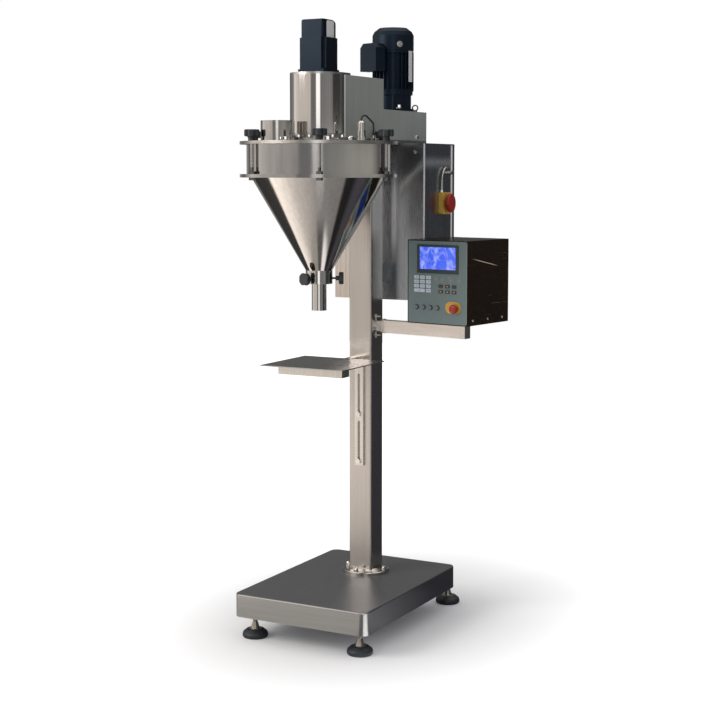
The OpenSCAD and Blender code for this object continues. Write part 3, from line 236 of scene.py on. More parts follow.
# ---- Machine head
# Plates of ground stainless, the half-round polished cover of the auger's drive
# and the sheet housing of the belt drive with its fine brushed grain.
dress(steel("head plate ground", (0.56, 0.54, 0.52), 0.32, (6, 300, 300)), "head_plate")
housing_steel = steel("housing sheet brushed upright", (0.40, 0.42, 0.40), 0.5, (300, 300, 4),
                      metal=0.45, bands=0.06)
dress(housing_steel, "housing_shell")
dress(steel("polished half tube", (0.68, 0.65, 0.62), 0.07, (260, 260, 1), smudge=0.02), "servo_cover")
dress(steel("machined motor plate", (0.58, 0.57, 0.56), 0.28, (200, 200, 200)),
      "servo_stand", "bearing_housing")

# ---- Motors
# The servo motor is black anodised and its cap is moulded. The agitator's gear
# motor has a dark blue stoved paint with a fine orange peel. Its belt is rubber.
cool_gloss = {"specular_ior_level": 0.24, "specular_tint": (0.5, 0.7, 1.0, 1)}
servo = Finish("black anodised motor")
peel = servo.noise(900.0, 2.0)
cloud = servo.noise(12.0, 3.0)
servo.set(base_color=servo.blend(cloud, (0.003, 0.004, 0.007, 1), (0.006, 0.009, 0.014, 1)),
          roughness=0.30 + (cloud - 0.5) * 0.16, normal=servo.bump(peel, 0.00005, 0.5), **cool_gloss)
dress(servo, "servo_motor")

paint = Finish("dark blue stoved paint")
peel = paint.noise(420.0, 2.0)
cloud = paint.noise(14.0, 3.0)
paint.set(base_color=paint.blend(cloud, (0.005, 0.009, 0.015, 1), (0.011, 0.017, 0.026, 1)),
          roughness=0.34 + (cloud - 0.5) * 0.2, normal=paint.bump(peel, 0.00012, 0.6), **cool_gloss)
dress(paint, "gear_head", "agitator_motor", "fan_cowl")

belt = Finish("belt rubber")
weave = belt.noise(700.0, 2.0)
belt.set(base_color=belt.blend(weave, (0.012, 0.012, 0.012, 1), (0.035, 0.035, 0.035, 1)), roughness=0.75,
         normal=belt.bump(weave, 0.0001, 0.6))
dress(belt, "drive_belt")
dress(steel("turned alloy", (0.72, 0.73, 0.74), 0.25, (30, 30, 500)), "drive_pulley")

# ---- Hopper
# A rolled band and a polished cone of stainless sheet, the lid with its feed
# port, and the collar and nozzle below.
dress(steel("hopper band brushed round", (0.54, 0.52, 0.50), 0.11, (40, 40, 3), smudge=0.02, bands=0.10),
      "hopper_band")
dress(steel("lid plate ground", (0.60, 0.57, 0.54), 0.26, (90, 90, 90)), "lid_plate")
dress(steel("polished cone", (0.66, 0.62, 0.58), 0.09, (120, 120, 4), smudge=0.03, bands=0.03),
      "hopper_cone")
dress(steel("polished tube", (0.66, 0.63, 0.60), 0.12, (200, 200, 2), smudge=0.02),
      "feed_port", "nozzle_collar", "filling_nozzle")

# ---- Knobs
# Six star knobs on the clamping rods and two small ones at the collar, moulded
# in black thermoset plastic with a grained skin.
knob = Finish("moulded black plastic")
grain = knob.noise(1300.0, 2.0)
cloud = knob.noise(40.0, 3.0)
knob.set(base_color=knob.blend(cloud, (0.010, 0.012, 0.015, 1), (0.028, 0.032, 0.038, 1)),
         roughness=0.42 + (cloud - 0.5) * 0.2, normal=knob.bump(grain, 0.00008, 0.6))
dress(knob, *[f"lid_knob_{i}" for i in range(1, 7)], "collar_knob_front", "collar_knob_right")

# ---- Tray
# A flat sheet on a welded bracket, with the slotted bar that slides on the
# column's two bolts.
dress(steel("tray sheet brushed across", (0.54, 0.53, 0.52), 0.24, (5, 420, 420), smudge=0.06),
      "tray_plate")
dress(steel("tray bracket", (0.72, 0.67, 0.62), 0.28, (420, 420, 6)), "tray_bracket")

# ---- Cabinet
# A welded stainless case with a tray-shaped door, brushed upright, on two box
# spacers behind the column. Inside are a zinc-plated plate and grey units. The
# front is warmer left of the column, and a bright streak and arc at its right are a painted reflection.
sheet_tone, upright = (0.42, 0.45, 0.49), (300, 300, 3)
dress(steel("cabinet sheet brushed upright", sheet_tone, 0.29, upright, bands=0.16), "cabinet_door")
front = steel("cabinet front with a polished streak", sheet_tone, 0.27, upright, bands=0.16)
# The streak and the arc are painted reflection: there the front turns near white and less metallic.
streak_x, streak_foot, streak_head = -0.031, 1.16, 1.41
arc_foot, arc_rise = 1.375, 0.9
warm_edge = -0.127
x, _, z = front.xyz()
ripple = front.noise(5.0, 2.0, (1, 1, 0.4))
across = x - streak_x + (ripple - 0.5) * 0.014
streak = across.within(-0.010, 0.008, 0.014) * z.within(streak_foot, streak_head, 0.14)
arc = (z - arc_foot - x * arc_rise).within(-0.012, 0.014, 0.03) * x.within(-0.01, 0.085, 0.05)
painted_reflection = (streak * 0.9 + arc * 0.4).capped()
grain = front.noise(1.0, 4.0, upright, 0.65)
cool = Surface(front, front.shader.inputs["Base Color"].links[0].from_socket)
warm = front.blend(grain, (0.43, 0.385, 0.35, 1), (0.74, 0.67, 0.61, 1))
tone_shift = front.blend(x.above(warm_edge, 0.02), warm, cool)
front.set(base_color=front.blend(painted_reflection, tone_shift, (0.95, 0.95, 0.97, 1)), metallic=1 - painted_reflection * 0.7)
dress(front, "cabinet_shell")
# The spacers' steel is given a dark tone as painted shade between the column and the cabinet.
dress(steel("dull spacer sheet", (0.24, 0.235, 0.23), 0.42, (60, 60, 60)), "cabinet_brackets")
dress(steel("zinc plated plate", (0.62, 0.64, 0.64), 0.40, (30, 30, 30), smudge=0.12), "mounting_plate")
case = Finish("grey moulded case")
grain = case.noise(800.0, 2.0)
case.set(base_color=case.blend(grain, (0.05, 0.053, 0.058, 1), (0.075, 0.08, 0.085, 1)), roughness=0.5,
         normal=case.bump(grain, 0.00006, 0.5))
dress(case, "drive_units")

# ---- Emergency stop on the cabinet
# A moulded yellow box with a red mushroom head, and the bent conduit that
# carries its lead.
yellow = Finish("moulded yellow plastic")
grain = yellow.noise(500.0, 2.0)
cloud = yellow.noise(30.0, 3.0)
yellow.set(base_color=yellow.blend(cloud, (0.56, 0.30, 0.035, 1), (0.72, 0.44, 0.07, 1)),
           roughness=0.40 + (cloud - 0.5) * 0.2, normal=yellow.bump(grain, 0.00006, 0.5))
dress(yellow, "side_stop_box")
red = Finish("moulded red plastic")
cloud = red.noise(45.0, 3.0)
red.set(base_color=red.blend(cloud, (0.24, 0.010, 0.008, 1), (0.42, 0.022, 0.015, 1)),
        roughness=0.30 + (cloud - 0.5) * 0.16, normal=red.bump(cloud, 0.0002, 0.4))
dress(red, "side_stop_knob", "panel_stop_knob")
conduit_start = 0.20
sheath = Finish("lead sheath and bright conduit")
conduit = sheath.xyz()[1].above(conduit_start, 0.002)
cloud = sheath.noise(120.0, 3.0)
black = sheath.blend(cloud, (0.012, 0.013, 0.015, 1), (0.03, 0.032, 0.035, 1))
sheath.set(base_color=sheath.blend(conduit, black, (0.72, 0.68, 0.62, 1)), metallic=conduit,
           roughness=0.42 - conduit * 0.22 + (cloud - 0.5) * 0.1)
dress(sheath, "leads")

# ---- Swing arm
# A closed rectangular tube with a ground finish. It turns on a plain pin at the
# end of its bracket's tongue, which is welded to a plate on the column.
dress(steel("arm brushed along", (0.62, 0.57, 0.525), 0.24, (8, 8, 300), smudge=0.03), "swing_arm")
dress(steel("arm bracket", (0.60, 0.58, 0.55), 0.24, (90, 90, 90)), "arm_bracket")

# ---- Control box
# A folded steel box with gloss enamel, near black with a brown cast, and a
# grey-green printed foil on its front panel with a blue backlit screen.
pivot = next(j for j in frame["record"]["behaviour"]["joints"] if j["name"] == "arm_swivel")["pos_m"]
turned = math.radians(9.5)
along = Vector((math.cos(turned), -math.sin(turned), 0))
out_of = Vector((-math.sin(turned), -math.cos(turned), 0))
corner_along, corner_out = 0.1095, 0.023
corner = Vector((pivot[0], pivot[1], 0)) + along * corner_along + out_of * corner_out
corner.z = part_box("control_panel")[0][2]
gouge_start, gouge_z, gouge_fall = 0.057, 1.1472, 0.19
enamel = Finish("gloss enamel near black")
x, y, z = enamel.xyz()
behind = x * -out_of.x + y * -out_of.y + corner.dot(out_of)
cloud = enamel.noise(9.0, 5.0)
fleck = enamel.noise(330.0, 3.0, rough=0.7)
scuff = enamel.noise(1.0, 3.0, (5, 5, 130), 0.7).above(0.71, 0.05)
gouge = (z - gouge_z + (behind - gouge_start) * gouge_fall).within(-0.0011, 0.0011, 0.0006)
gouge = gouge * behind.within(0.045, 0.155, 0.05)
marked = (scuff * 0.12 + gouge).capped()
flecked = fleck.above(0.52, 0.16) * (0.35 + cloud)
skin = enamel.blend(flecked, (0.004, 0.002, 0.001, 1), (0.030, 0.015, 0.006, 1))
enamel.set(base_color=enamel.blend(marked, skin, (0.62, 0.48, 0.32, 1)),
           roughness=0.24 + marked * 0.3 + (cloud - 0.5) * 0.1, specular_ior_level=0.35,
           normal=enamel.bump(fleck, 0.00006, 0.5))
dress(enamel, "control_box")
foil = Finish("grey-green printed foil")
cloud = foil.noise(14.0, 3.0)
grain = foil.noise(1600.0, 2.0)
foil.set(base_color=foil.blend(cloud, (0.125, 0.175, 0.175, 1), (0.150, 0.205, 0.205, 1)),
         roughness=0.42 + (cloud - 0.5) * 0.1, normal=foil.bump(grain, 0.00004, 0.5))
dress(foil, "control_panel")

# ---- Panel
# What lies on the foil: the screen's pane in its dark bezel, a keypad of raised
# white keys, six small dark keys, faint printed rings and the stop's oval plate.
def ready():
    """Leaves edit mode and deselects everything before a new primitive."""
    if bpy.context.object and bpy.context.object.mode != "OBJECT":
        bpy.ops.object.mode_set(mode="OBJECT")
    bpy.ops.object.select_all(action="DESELECT")


def pick(test, kind="faces"):
    """Goes into edit mode and selects the faces or edges that pass a test."""
    if bpy.context.object.mode != "EDIT":
        bpy.ops.object.mode_set(mode="EDIT")
    bpy.ops.mesh.select_mode(type={"faces": "FACE", "edges": "EDGE"}[kind])
    bpy.ops.mesh.select_all(action="DESELECT")
    mesh = bmesh.from_edit_mesh(bpy.context.object.data)
    for item in getattr(mesh, kind):
        if test(item):
            item.select_set(True)
    bmesh.update_edit_mesh(bpy.context.object.data)


def join(name, pieces):
    """Joins pieces into one."""
    ready()
    for piece in pieces:
        piece.select_set(True)
    bpy.context.view_layer.objects.active = pieces[0]
    bpy.ops.object.join()
    pieces[0].name = name
    return pieces[0]


def settle(piece, finish, body, place=Matrix()):
    """Puts a modelled piece's place into its mesh, gives it its finish and lets it ride."""
    ready()
    piece.data.transform(place @ piece.matrix_world)
    piece.matrix_world = Matrix()
    piece.select_set(True)
    bpy.context.view_layer.objects.active = piece
    bpy.ops.object.shade_smooth_by_angle(angle=0.6)
    piece.data.materials.clear()
    piece.data.materials.append(finish.material)
    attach(piece, body)


def copies(piece, places):
    """Copies of a piece, each with its own mesh, at matrices; the last is the piece itself."""
    made = [piece.copy() for _ in places[1:]]
    for other in made:
        other.data = piece.data.copy()
        bpy.context.scene.collection.objects.link(other)
    made.append(piece)
    for other, place in zip(made, places):
        other.matrix_world = place @ other.matrix_world
    return made


def pad(name, wide, tall, thick, corner, rim, at=(0, 0, 0)):
    """A flat pad with round corners and a rounded rim, standing on z = at[2]."""
    ready()
    bpy.ops.mesh.primitive_cube_add(size=1, location=(at[0], at[1], at[2] + thick / 2),
                                    scale=(wide, tall, thick))
    bpy.ops.object.transform_apply(location=True, rotation=False, scale=True)
    pick(lambda e: abs(e.verts[0].co.z - e.verts[1].co.z) > thick / 2, "edges")
    bpy.ops.mesh.bevel(offset=corner, segments=6, affect="EDGES")
    top = at[2] + thick
    pick(lambda e: all(v.co.z > top - 1e-7 for v in e.verts) and len(e.link_faces) == 2
         and min(f.normal.z for f in e.link_faces) < 0.5, "edges")
    bpy.ops.mesh.bevel(offset=rim, segments=3, affect="EDGES")
    ready()
    bpy.context.object.name = name
    return bpy.context.object


on_panel = Matrix((along, Vector((0, 0, 1)), out_of)).transposed().to_4x4()
on_panel.translation = corner


def foil_place(u, v, w=0.0):
    """A place on the foil: u to the right, v up, w out of it."""
    return on_panel @ Matrix.Translation((u, v, w))


def ring(major, minor, steps, place, turn=(0, 0, 0)):
    """A torus with steps round its bar and its own rotation."""
    ready()
    bpy.ops.mesh.primitive_torus_add(major_radius=major, minor_radius=minor, major_segments=48,
                                     minor_segments=steps, location=place, rotation=turn)
    return bpy.context.object


def cylinder(steps, radius, depth, middle=0.0):
    """An upright cylinder, its middle at a height."""
    ready()
    bpy.ops.mesh.primitive_cylinder_add(vertices=steps, radius=radius, depth=depth, location=(0, 0, middle))
    return bpy.context.object


bezel = Finish("dark screen bezel")
grain = bezel.noise(900.0, 2.0)
bezel.set(base_color=bezel.blend(grain, (0.018, 0.030, 0.036, 1), (0.030, 0.045, 0.050, 1)), roughness=0.35,
          normal=bezel.bump(grain, 0.00004, 0.5))
dress(bezel, "display_window")
pane_wide, pane_tall = 0.1318, 0.0705
pane = pad("screen_pane", pane_wide, pane_tall, 0.0008, 0.002, 0.0002)
screen = Finish("blue backlit screen")
low_light = screen.noise(9.0, 1.0, (3, 3, 5))
# The pale wavy streaks laid into the screen's glow are a painted reflection; the blue glow itself is the
# real backlight.
painted_sheen = 0.0
for scale, wide in ((5.0, 0.013), (9.0, 0.018), (15.0, 0.016)):
    ripple = screen.noise(scale, 2.0, (1.6, 1.6, 1.0), 0.6)
    offset = ripple - 0.5
    streak = offset.math("ABSOLUTE", offset)
    ridge = 1 - streak.above(wide, wide * 1.6)
    painted_sheen = ridge * (0.3 + low_light.above(0.45, 0.3) * 0.7) * 0.6 + painted_sheen
lit = screen.blend(low_light, (0.030, 0.085, 0.78, 1), (0.085, 0.18, 0.98, 1))
backlight_and_painted_sheen = screen.blend(painted_sheen.capped() * 0.7, lit, (0.46, 0.52, 1.0, 1))
screen.set(base_color=(0.01, 0.02, 0.10, 1), emission_color=backlight_and_painted_sheen, emission_strength=0.95, roughness=0.12)
sight = Surface(screen, screen.tree.nodes.new("ShaderNodeLightPath").outputs["Is Camera Ray"])
unlit = screen.node("ShaderNodeBsdfDiffuse", {}, {0: (0.02, 0.04, 0.22, 1)})
glass = Surface(screen, screen.shader.outputs[0])
only_seen = screen.node("ShaderNodeMixShader", {}, {0: sight, 1: unlit, 2: glass})
screen.tree.links.new(only_seen.out, screen.end.inputs[0])
settle(pane, screen, "control_station", foil_place(0.1125, 0.2005, 0.0016))

key_white = Finish("translucent white key")
grain = key_white.noise(160.0, 3.0)
key_white.set(base_color=key_white.blend(grain, (0.48, 0.53, 0.60, 1), (0.66, 0.72, 0.80, 1)),
              roughness=0.45, normal=key_white.bump(grain, 0.0001, 0.4))
key_left, key_step, key_top, key_pitch, key_thick = 0.0336, 0.0223, 0.1398, 0.0135, 0.0012
wide_key_u, bottom_row = 0.0447, 3
keys = []
for row in range(4):
    columns = [(key_left + number * key_step, 0.0172) for number in range(3)]
    if row == bottom_row:
        columns[:2] = [(wide_key_u, 0.0395)]
    for u, wide in columns:
        keys.append(pad("key", wide, 0.0106, key_thick, 0.0014, 0.0005, (u, key_top - row * key_pitch, 0)))
settle(join("white_keypad", keys), key_white, "control_station", on_panel)

legend = Finish("grey printed legend")
grain = legend.noise(300.0, 2.0)
legend.set(base_color=legend.blend(grain, (0.22, 0.27, 0.32, 1), (0.30, 0.36, 0.42, 1)), roughness=0.5)
mark_left, sunk = 0.0346, 0.00001
mark_places = [(mark_left + column * key_step, row) for row in range(3) for column in range(3)]
mark_places += [(wide_key_u, bottom_row), (mark_left + 2 * key_step, bottom_row)]
marks = [pad("mark", 0.0062, 0.0028, 0.0003, 0.0009, 0.0001,
             (u, key_top - row * key_pitch, key_thick - sunk)) for u, row in mark_places]
settle(join("key_legends", marks), legend, "control_station", on_panel)

key_dark = Finish("dark moulded key")
grain = key_dark.noise(500.0, 2.0)
key_dark.set(base_color=key_dark.blend(grain, (0.020, 0.020, 0.018, 1), (0.045, 0.042, 0.036, 1)),
             roughness=0.4, normal=key_dark.bump(grain, 0.0001, 0.5))
dark_thick, upper_row, lower_row = 0.0014, 0.1148, 0.0982
dark_columns = (0.1235, 0.1480, 0.1725)
dark_places = [(u, v) for u in dark_columns for v in (upper_row, lower_row)]
unmarked = ((dark_columns[0], upper_row), (dark_columns[2], upper_row))
keys = [pad("key", 0.0158, 0.0105, dark_thick, 0.0016, 0.0005, (u, v, 0)) for u, v in dark_places]
settle(join("dark_keys", keys), key_dark, "control_station", on_panel)
amber = Finish("amber printed mark")
grain = amber.noise(400.0, 2.0)
amber.set(base_color=amber.blend(grain, (0.42, 0.27, 0.14, 1), (0.58, 0.40, 0.22, 1)), roughness=0.5)
marks = [pad("mark", 0.0052, 0.0036, 0.0003, 0.0012, 0.0001, (u, v, dark_thick - sunk))
         for u, v in dark_places if (u, v) not in unmarked]
settle(join("dark_key_marks", marks), amber, "control_station", on_panel)

faint = Finish("faint printed ring")
grain = faint.noise(300.0, 2.0)
faint.set(base_color=faint.blend(grain, (0.24, 0.22, 0.21, 1), (0.36, 0.31, 0.29, 1)), roughness=0.5)
ring_v = 0.1345
rings = []
for u in (0.106, 0.129, 0.158, 0.190):
    rings.append(ring(0.0078, 0.0007, 8, (u, ring_v, 0.0001)))
    bpy.ops.transform.resize(value=(0.95, 1.1, 1))
    rings.append(pad("dot", 0.0050, 0.0062, 0.0003, 0.0012, 0.0001, (u, ring_v, 0)))
settle(join("printed_rings", rings), faint, "control_station", on_panel)

plate = pad("stop_plate", 0.056, 0.036, 0.0016, 0.0175, 0.0006)
pick(lambda f: f.normal.z > 0.9 and f.calc_area() > 0.0005)
bpy.ops.mesh.inset(thickness=0.002, depth=0.0)
bpy.ops.mesh.inset(thickness=0.0006, depth=-0.0004)
settle(plate, yellow, "control_station", foil_place(0.169, 0.051, 0))

grey_cap = Finish("grey moulded button")
grain = grey_cap.noise(600.0, 2.0)
grey_cap.set(base_color=grey_cap.blend(grain, (0.125, 0.155, 0.16, 1), (0.165, 0.20, 0.205, 1)),
             roughness=0.45, normal=grey_cap.bump(grain, 0.00004, 0.5))
dress(grey_cap, *[f"panel_button_{i}" for i in range(1, 5)])
# Thin dark rings round the grey buttons, in the knobs' black plastic, are painted shade.
rings = []
for number in range(1, 5):
    low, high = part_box(f"panel_button_{number}")
    middle = on_panel.inverted() @ ((Vector(low) + Vector(high)) / 2)
    rings.append(ring(0.0068, 0.0011, 10, (middle.x, middle.y, 0.0004)))
settle(join("button_rings", rings), knob, "control_station", on_panel)

# A pale strip along the panel's right edge is a painted highlight of the box's edge.
edge_highlight_finish = Finish("worn panel edge")
grain = edge_highlight_finish.noise(200.0, 3.0)
edge_highlight_finish.set(base_color=edge_highlight_finish.blend(grain, (0.16, 0.17, 0.17, 1), (0.34, 0.35, 0.35, 1)),
              roughness=0.4, metallic=0.3)
panel_low, panel_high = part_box("control_panel")
panel_tall = panel_high[2] - panel_low[2]
edge_middle = (0.2176, panel_tall / 2, 0)
highlight_strip = pad("panel_edge", 0.0024, panel_tall - 0.006, 0.0008, 0.0006, 0.0003, edge_middle)
settle(highlight_strip, edge_highlight_finish, "control_station", on_panel)


def screw_head(name, radius, height, slot):
    """A round screw head with a slot, on z = 0."""
    cylinder(40, radius, height, height / 2)
    bpy.ops.object.transform_apply(location=True)
    pick(lambda f: f.normal.z > 0.9)
    bpy.ops.mesh.bevel(offset=height * 0.45, segments=4, affect="EDGES")
    pick(lambda f: f.normal.z > 0.9 and len(f.verts) > 10)
    bpy.ops.mesh.inset(thickness=radius * 0.35)
    bpy.ops.mesh.extrude_region_move(TRANSFORM_OT_translate={"value": (0, 0, -slot)})
    ready()
    bpy.context.object.name = name
    return bpy.context.object


panel_wide = 0.219
side = Matrix((-out_of, Vector((0, 0, 1)), along)).transposed().to_4x4()
side.translation = corner + along * panel_wide
screws = copies(screw_head("box_screw", 0.0042, 0.0024, 0.0008),
                [side @ Matrix.Translation((depth, 0.012, 0)) for depth in (0.032, 0.114, 0.196)])
settle(join("box_screws", screws), bright, "control_station")

# ---- Small details
# Bolts round the servo cover's foot and on the lid, a lifting eye, bare plates on
# the motors, beads along two sheet edges that are partly a painted highlight, and a pale
# strip on the cabinet door's edge that is a painted highlight.
column_x, column_y = pivot[0] - 0.060, pivot[1] - 0.005


def spot(x, y, z):
    """A place in millimetres from the column's axis."""
    return Vector((column_x + x / 1000, column_y + y / 1000, z / 1000))


def facing(place, outward):
    """A matrix at a place whose Z points outward."""
    return Matrix.Translation(place) @ Vector(outward).to_track_quat("Z", "Y").to_matrix().to_4x4()


def bolt(radius, height):
    """A hexagonal bolt head on a washer, on z = 0."""
    washer = cylinder(48, radius * 1.3, height * 0.25, height * 0.125)
    head = cylinder(6, radius, height * 0.8, height * 0.6)
    bpy.ops.object.transform_apply(location=True)
    pick(lambda f: f.normal.z > 0.9)
    bpy.ops.mesh.bevel(offset=height * 0.15, segments=3, affect="EDGES")
    return join("bolt", [washer, head])


def post(name, radius, low, high):
    """A round bar between two places."""
    bar = cylinder(32, radius, (high - low).length)
    bar.matrix_world = facing((low + high) / 2, high - low)
    bar.name = name
    return bar


up = (0, 0, 1)
quarter = Matrix.Rotation(math.radians(90), 4, "Z")
hopper = spot(0, -300, 0)
bolt_circle, bolt_foot, first_bolt, bolt_step = 0.0905, 1.513, -78, 22.3
ring_bolts = []
for number in range(8):
    turn = math.radians(first_bolt + number * bolt_step)
    place = hopper + Vector((bolt_circle * math.sin(turn), -bolt_circle * math.cos(turn), bolt_foot))
    ring_bolts.append(facing(place, up))
settle(join("cover_bolts", copies(bolt(0.0048, 0.0085), ring_bolts)), bright, "frame")
singles = []
for place, outward, radius, height in (
        ((84, -397, 1503), up, 0.0085, 0.013),
        ((4, -499, 1503), up, 0.006, 0.011),
        ((85, 186, 1523), (1, 0, 0), 0.008, 0.005),
        ((125, 88, 1475), (0, -1, 0), 0.0055, 0.004),
        ((43.8, 141.2, 1615), up, 0.0075, 0.012),
        ((47.3, 137.8, 1818), (0.707, -0.707, 0), 0.0075, 0.005)):
    singles += copies(bolt(radius, height), [facing(spot(*place), outward)])
settle(join("single_bolts", singles), bright, "frame")

cap = screw_head("lid_plug", 0.0088, 0.013, 0.002)
settle(cap, bright, "frame", Matrix.Translation(spot(163, -401, 1503)))

eye = ring(0.0085, 0.0022, 12, spot(70, 205, 1618), (math.radians(90), 0, math.radians(20)))
foot_disc = post("eye_foot", 0.007, spot(70, 205, 1605), spot(70, 205, 1609.5))
eye_steel = steel("dark eye", (0.20, 0.20, 0.20), 0.3, (90, 90, 90))
settle(join("lifting_eye", [eye, foot_disc]), eye_steel, "frame")

plate_and_highlight_metal = steel("bare plate", (0.86, 0.85, 0.84), 0.28, (300, 300, 300), metal=0.35)
name_plate = pad("encoder_plate", 0.056, 0.044, 0.0008, 0.007, 0.0003)
settle(name_plate, plate_and_highlight_metal, "frame", facing(spot(39, -300, 1826), (1, 0, 0)) @ quarter)


def off_plate(face):
    """Whether a face is an end cap or lies outside the motor plate's arc."""
    middle = face.calc_center_median()
    return abs(face.normal.z) > 0.5 or not 76 <= math.degrees(math.atan2(middle.x, -middle.y)) < 93


motor_plate = cylinder(120, 0.0672, 0.098)
pick(off_plate)
bpy.ops.mesh.delete(type="FACE")
bpy.ops.mesh.select_all(action="SELECT")
bpy.ops.mesh.extrude_region_move()
bpy.ops.transform.shrink_fatten(value=-0.0008)
ready()
motor_plate.name = "motor_plate"
settle(motor_plate, plate_and_highlight_metal, "frame", Matrix.Translation(spot(0, 185, 1749)))

# The beads are rounded sheet edges; their bright, half diffuse finish is a painted highlight.
beads = [post("bead", 0.0022, spot(84.6, -295, 1515), spot(84.6, -295, 1696)),
         post("bead", 0.0030, spot(158.4, 89.6, 1011), spot(158.4, 89.6, 1502))]
settle(join("edge_beads", beads), plate_and_highlight_metal, "frame")
# A pale strip along the door's front edge, a painted highlight.
door_highlight_finish = Finish("pale door seal")
grain = door_highlight_finish.noise(700.0, 2.0)
door_highlight_finish.set(base_color=door_highlight_finish.blend(grain, (0.62, 0.61, 0.60, 1), (0.78, 0.77, 0.76, 1)), roughness=0.45,
         normal=door_highlight_finish.bump(grain, 0.00005, 0.5))
strip = pad("door_seal", 0.486, 0.011, 0.0012, 0.003, 0.0004)
settle(strip, door_highlight_finish, "cabinet_door", facing(spot(160, 291, 1256), (1, 0, 0)) @ quarter)

# ---- Room
# A pale floor with a soft shadow, one soft lamp and the studio that the polished
# steel mirrors: bright at the front left, dark at both sides, half light behind.
bpy.ops.mesh.primitive_grid_add(x_subdivisions=8, y_subdivisions=8, size=14, location=(0, 0, 0))
floor = bpy.context.object
floor.name = "floor"
floor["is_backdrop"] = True
pale = Finish("pale floor")
pale.set(roughness=0.9, specular_ior_level=0.0)
x, y = pale.xyz()[:2]
path = pale.tree.nodes.new("ShaderNodeLightPath")
camera_ray = Surface(pale, path.outputs["Is Camera Ray"])
mirrored = Surface(pale, path.outputs["Is Glossy Ray"])


def colour_ring(finish, angle, stops):
    """Colours by an angle given as 0 to 1: stops in degrees, 0 at the front and 90 at the right."""
    ramp = finish.tree.nodes.new("ShaderNodeValToRGB")
    points = ramp.color_ramp.elements
    while len(points) > 1:
        points.remove(points[-1])
    points[0].position = (stops[0][0] + 180) / 360
    points[0].color = (*stops[0][1:], 1)
    for degrees, *colour in stops[1:]:
        points.new((degrees + 180) / 360).color = (*colour, 1)
    finish.tree.links.new(angle.out, ramp.inputs[0])
    return Surface(finish, ramp.outputs[0])


# The floor as the steel mirrors it, by the bearing from the hopper's axis: one
# ring for the hopper and the column, a nearer one for the base's sides.
from_x, from_y = x - hopper.x, y - hopper.y
radians, distance = from_x.math("ARCTAN2", from_x, -from_y), from_x.length(from_y)
bearing = radians / (2 * math.pi) + 0.5
tinted = colour_ring(pale, bearing, [
    (-180, 0.5, 0.5, 0.5), (-135, 0.45, 0.45, 0.45), (-120, 0.05, 0.05, 0.05), (-80, 0.05, 0.05, 0.05),
    (-75, 0.95, 0.9, 0.85), (-50, 0.95, 0.9, 0.85), (40, 0.4, 0.4, 0.4), (85, 0.35, 0.35, 0.35),
    (90, 0.03, 0.03, 0.03), (105, 0.03, 0.03, 0.03), (115, 0.1, 0.1, 0.12), (125, 0.1, 0.1, 0.12),
    (140, 0.05, 0.05, 0.06), (165, 0.05, 0.05, 0.06), (175, 0.5, 0.5, 0.5)])
away = x.length(y).above(1.6, 3.0)
dim = pale.blend(away, (0.86, 0.86, 0.86, 1), (1.25, 1.25, 1.25, 1))
tinted = pale.node("ShaderNodeMix", {"data_type": "RGBA", "blend_type": "MULTIPLY"},
                   {0: 1.0, 6: tinted, 7: dim}, out=2)
bright_patch = radians.within(0.42, 0.72, 0.08) * distance.above(1.0, 0.4)
tinted = pale.blend(bright_patch, tinted, (1, 1, 1, 1))
low_ring = colour_ring(pale, bearing, [
    (-180, 0.5, 0.5, 0.5), (-120, 0.3, 0.3, 0.3), (-70, 0.5, 0.48, 0.45), (15, 0.5, 0.48, 0.45),
    (25, 0.15, 0.15, 0.15), (45, 0.15, 0.15, 0.15), (55, 0.9, 0.9, 0.9), (85, 0.9, 0.9, 0.9),
    (95, 0.2, 0.2, 0.22), (120, 0.25, 0.25, 0.27), (150, 0.05, 0.05, 0.06), (165, 0.05, 0.05, 0.06),
    (175, 0.5, 0.5, 0.5)])
close_by = 1 - distance.above(0.78, 0.10)
tinted = pale.blend(close_by, tinted, low_ring)
pale.set(base_color=pale.blend(mirrored, (0.86, 0.86, 0.86, 1), tinted))
# What the floor gives off: it lifts to white away from the column for the camera,
# and the weak lift near the column is a painted shadow round the machine's foot.
# It glows for the base's front corner and for the hopper's bright left side.
corner_glow = radians.within(0.96, 1.50, 0.10) * close_by * mirrored
near = (x - column_x).length((y - column_y) * 0.72).above(0.62, 1.0)
lift = pale.blend(near, (0.03, 0.03, 0.033, 1), (0.75, 0.75, 0.75, 1))
ring_glow = colour_ring(pale, bearing, [
    (-80, 0, 0, 0), (-74, 0.50, 0.48, 0.45), (-50, 0.22, 0.21, 0.20), (-30, 0, 0, 0)])
lift = pale.blend(camera_ray, pale.blend(mirrored * (1 - close_by), (0, 0, 0, 1), ring_glow), lift)
pale.set(emission_color=pale.blend(corner_glow, lift, (0.5, 0.5, 0.5, 1)), emission_strength=1.0)
floor.data.materials.append(pale.material)

world = bpy.data.worlds.new("studio")
bpy.context.scene.world = world
world.use_nodes = True


class Studio(Finish):
    """The world's nodes, built with the same calls as a material's."""

    def __init__(self, world):
        self.tree = world.node_tree
        self.shader = self.tree.nodes["Background"]
        self.place = self.node("ShaderNodeTexCoord", {}, {}, out="Generated")


studio = Studio(world)
x, y, z = studio.xyz()
turn = x.math("ARCTAN2", x, -y) / (2 * math.pi) + 0.5
around = colour_ring(studio, turn, [
    (-180, 0.12, 0.12, 0.12), (-125, 0.12, 0.12, 0.12), (-90, 0.3, 0.3, 0.3), (-85, 0.95, 0.9, 0.85),
    (-55, 0.7, 0.65, 0.6), (-5, 0.7, 0.65, 0.6), (0, 0.17, 0.17, 0.17), (75, 0.25, 0.25, 0.25),
    (85, 0.2, 0.2, 0.2), (90, 0.04, 0.04, 0.04), (120, 0.04, 0.04, 0.04), (130, 0.1, 0.1, 0.1),
    (140, 0.05, 0.05, 0.05), (180, 0.05, 0.05, 0.05)])
window = (turn * 360 - 180).within(19, 35, 3)
around = studio.blend(window, around, (1.5, 1.5, 1.5, 1))
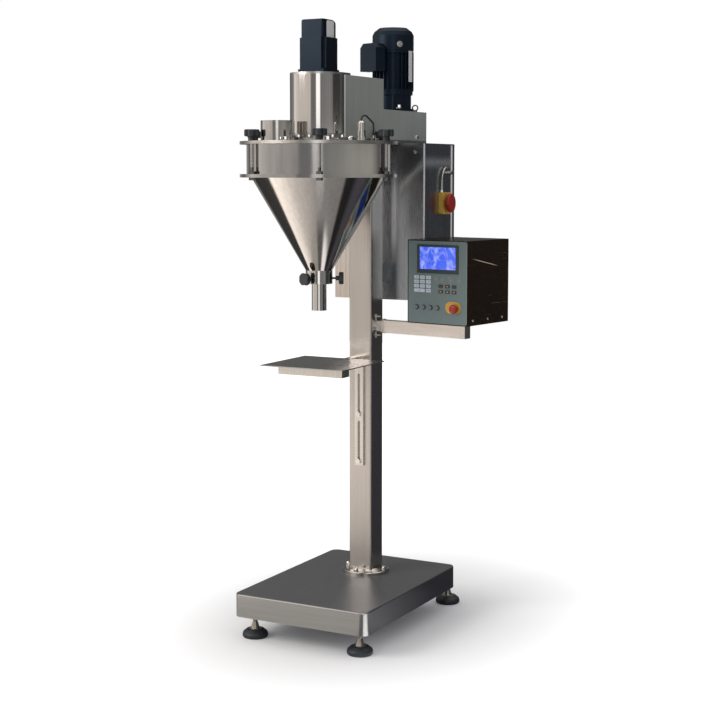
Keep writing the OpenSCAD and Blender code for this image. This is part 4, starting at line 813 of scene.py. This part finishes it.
# The narrow ring at eye level, which the upright hopper band mirrors.
level_ring = colour_ring(studio, turn, [
    (-180, 0.45, 0.45, 0.45), (-135, 0.4, 0.4, 0.4), (-110, 0.12, 0.12, 0.12), (-85, 0.85, 0.8, 0.75),
    (-50, 0.45, 0.45, 0.45), (0, 0.25, 0.25, 0.25), (20, 0.25, 0.25, 0.25), (90, 0.6, 0.6, 0.55),
    (120, 0.6, 0.6, 0.55), (145, 0.05, 0.05, 0.06), (165, 0.05, 0.05, 0.06), (175, 0.45, 0.45, 0.45)])
around = studio.blend(z.within(-0.014, 0.024, 0.006), around, level_ring)
room = studio.blend(z.above(0.72, 0.3), around, (1.1, 1.08, 1.05, 1))
path = studio.tree.nodes.new("ShaderNodeLightPath")
seen = Surface(studio, path.outputs["Is Camera Ray"])
through = Surface(studio, path.outputs["Is Transmission Ray"])
mirrored = Surface(studio, path.outputs["Is Glossy Ray"])
lamp_light = studio.blend(mirrored, (0.62, 0.62, 0.63, 1), room)
whole = studio.blend(seen.math("MAXIMUM", seen, through), lamp_light, (1, 1, 1, 1))
studio.put(studio.shader.inputs["Color"], whole)
studio.shader.inputs["Strength"].default_value = 1.0


lamp_place, lamp_aim = Vector((-2.6, -3.2, 3.0)), Vector((0, 0, 1.0))
lamp = bpy.data.lights.new("key", "AREA")
lamp.energy, lamp.size, lamp.color = 90, 2.2, (1.0, 0.96, 0.91)
holder = bpy.data.objects.new("key", lamp)
bpy.context.scene.collection.objects.link(holder)
holder.location = lamp_place
holder.rotation_euler = (lamp_aim - lamp_place).to_track_quat("-Z", "Y").to_euler()

# The photo's camera, fitted to its points and then tilted down a little.
lens = bpy.data.cameras.new("camera")
camera = bpy.data.objects.new("camera", lens)
bpy.context.scene.collection.objects.link(camera)
lens.sensor_fit = "HORIZONTAL"
lens.sensor_width = 36
lens.lens = 77.51
lens.shift_y = -0.07
camera.location = (2.1507, -4.1319, 1.4142)
camera.rotation_euler = (math.radians(90 - 5.214), 0, math.radians(28.291))
bpy.context.scene.camera = camera

bpy.context.scene.view_settings.view_transform = "Standard"

low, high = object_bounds()
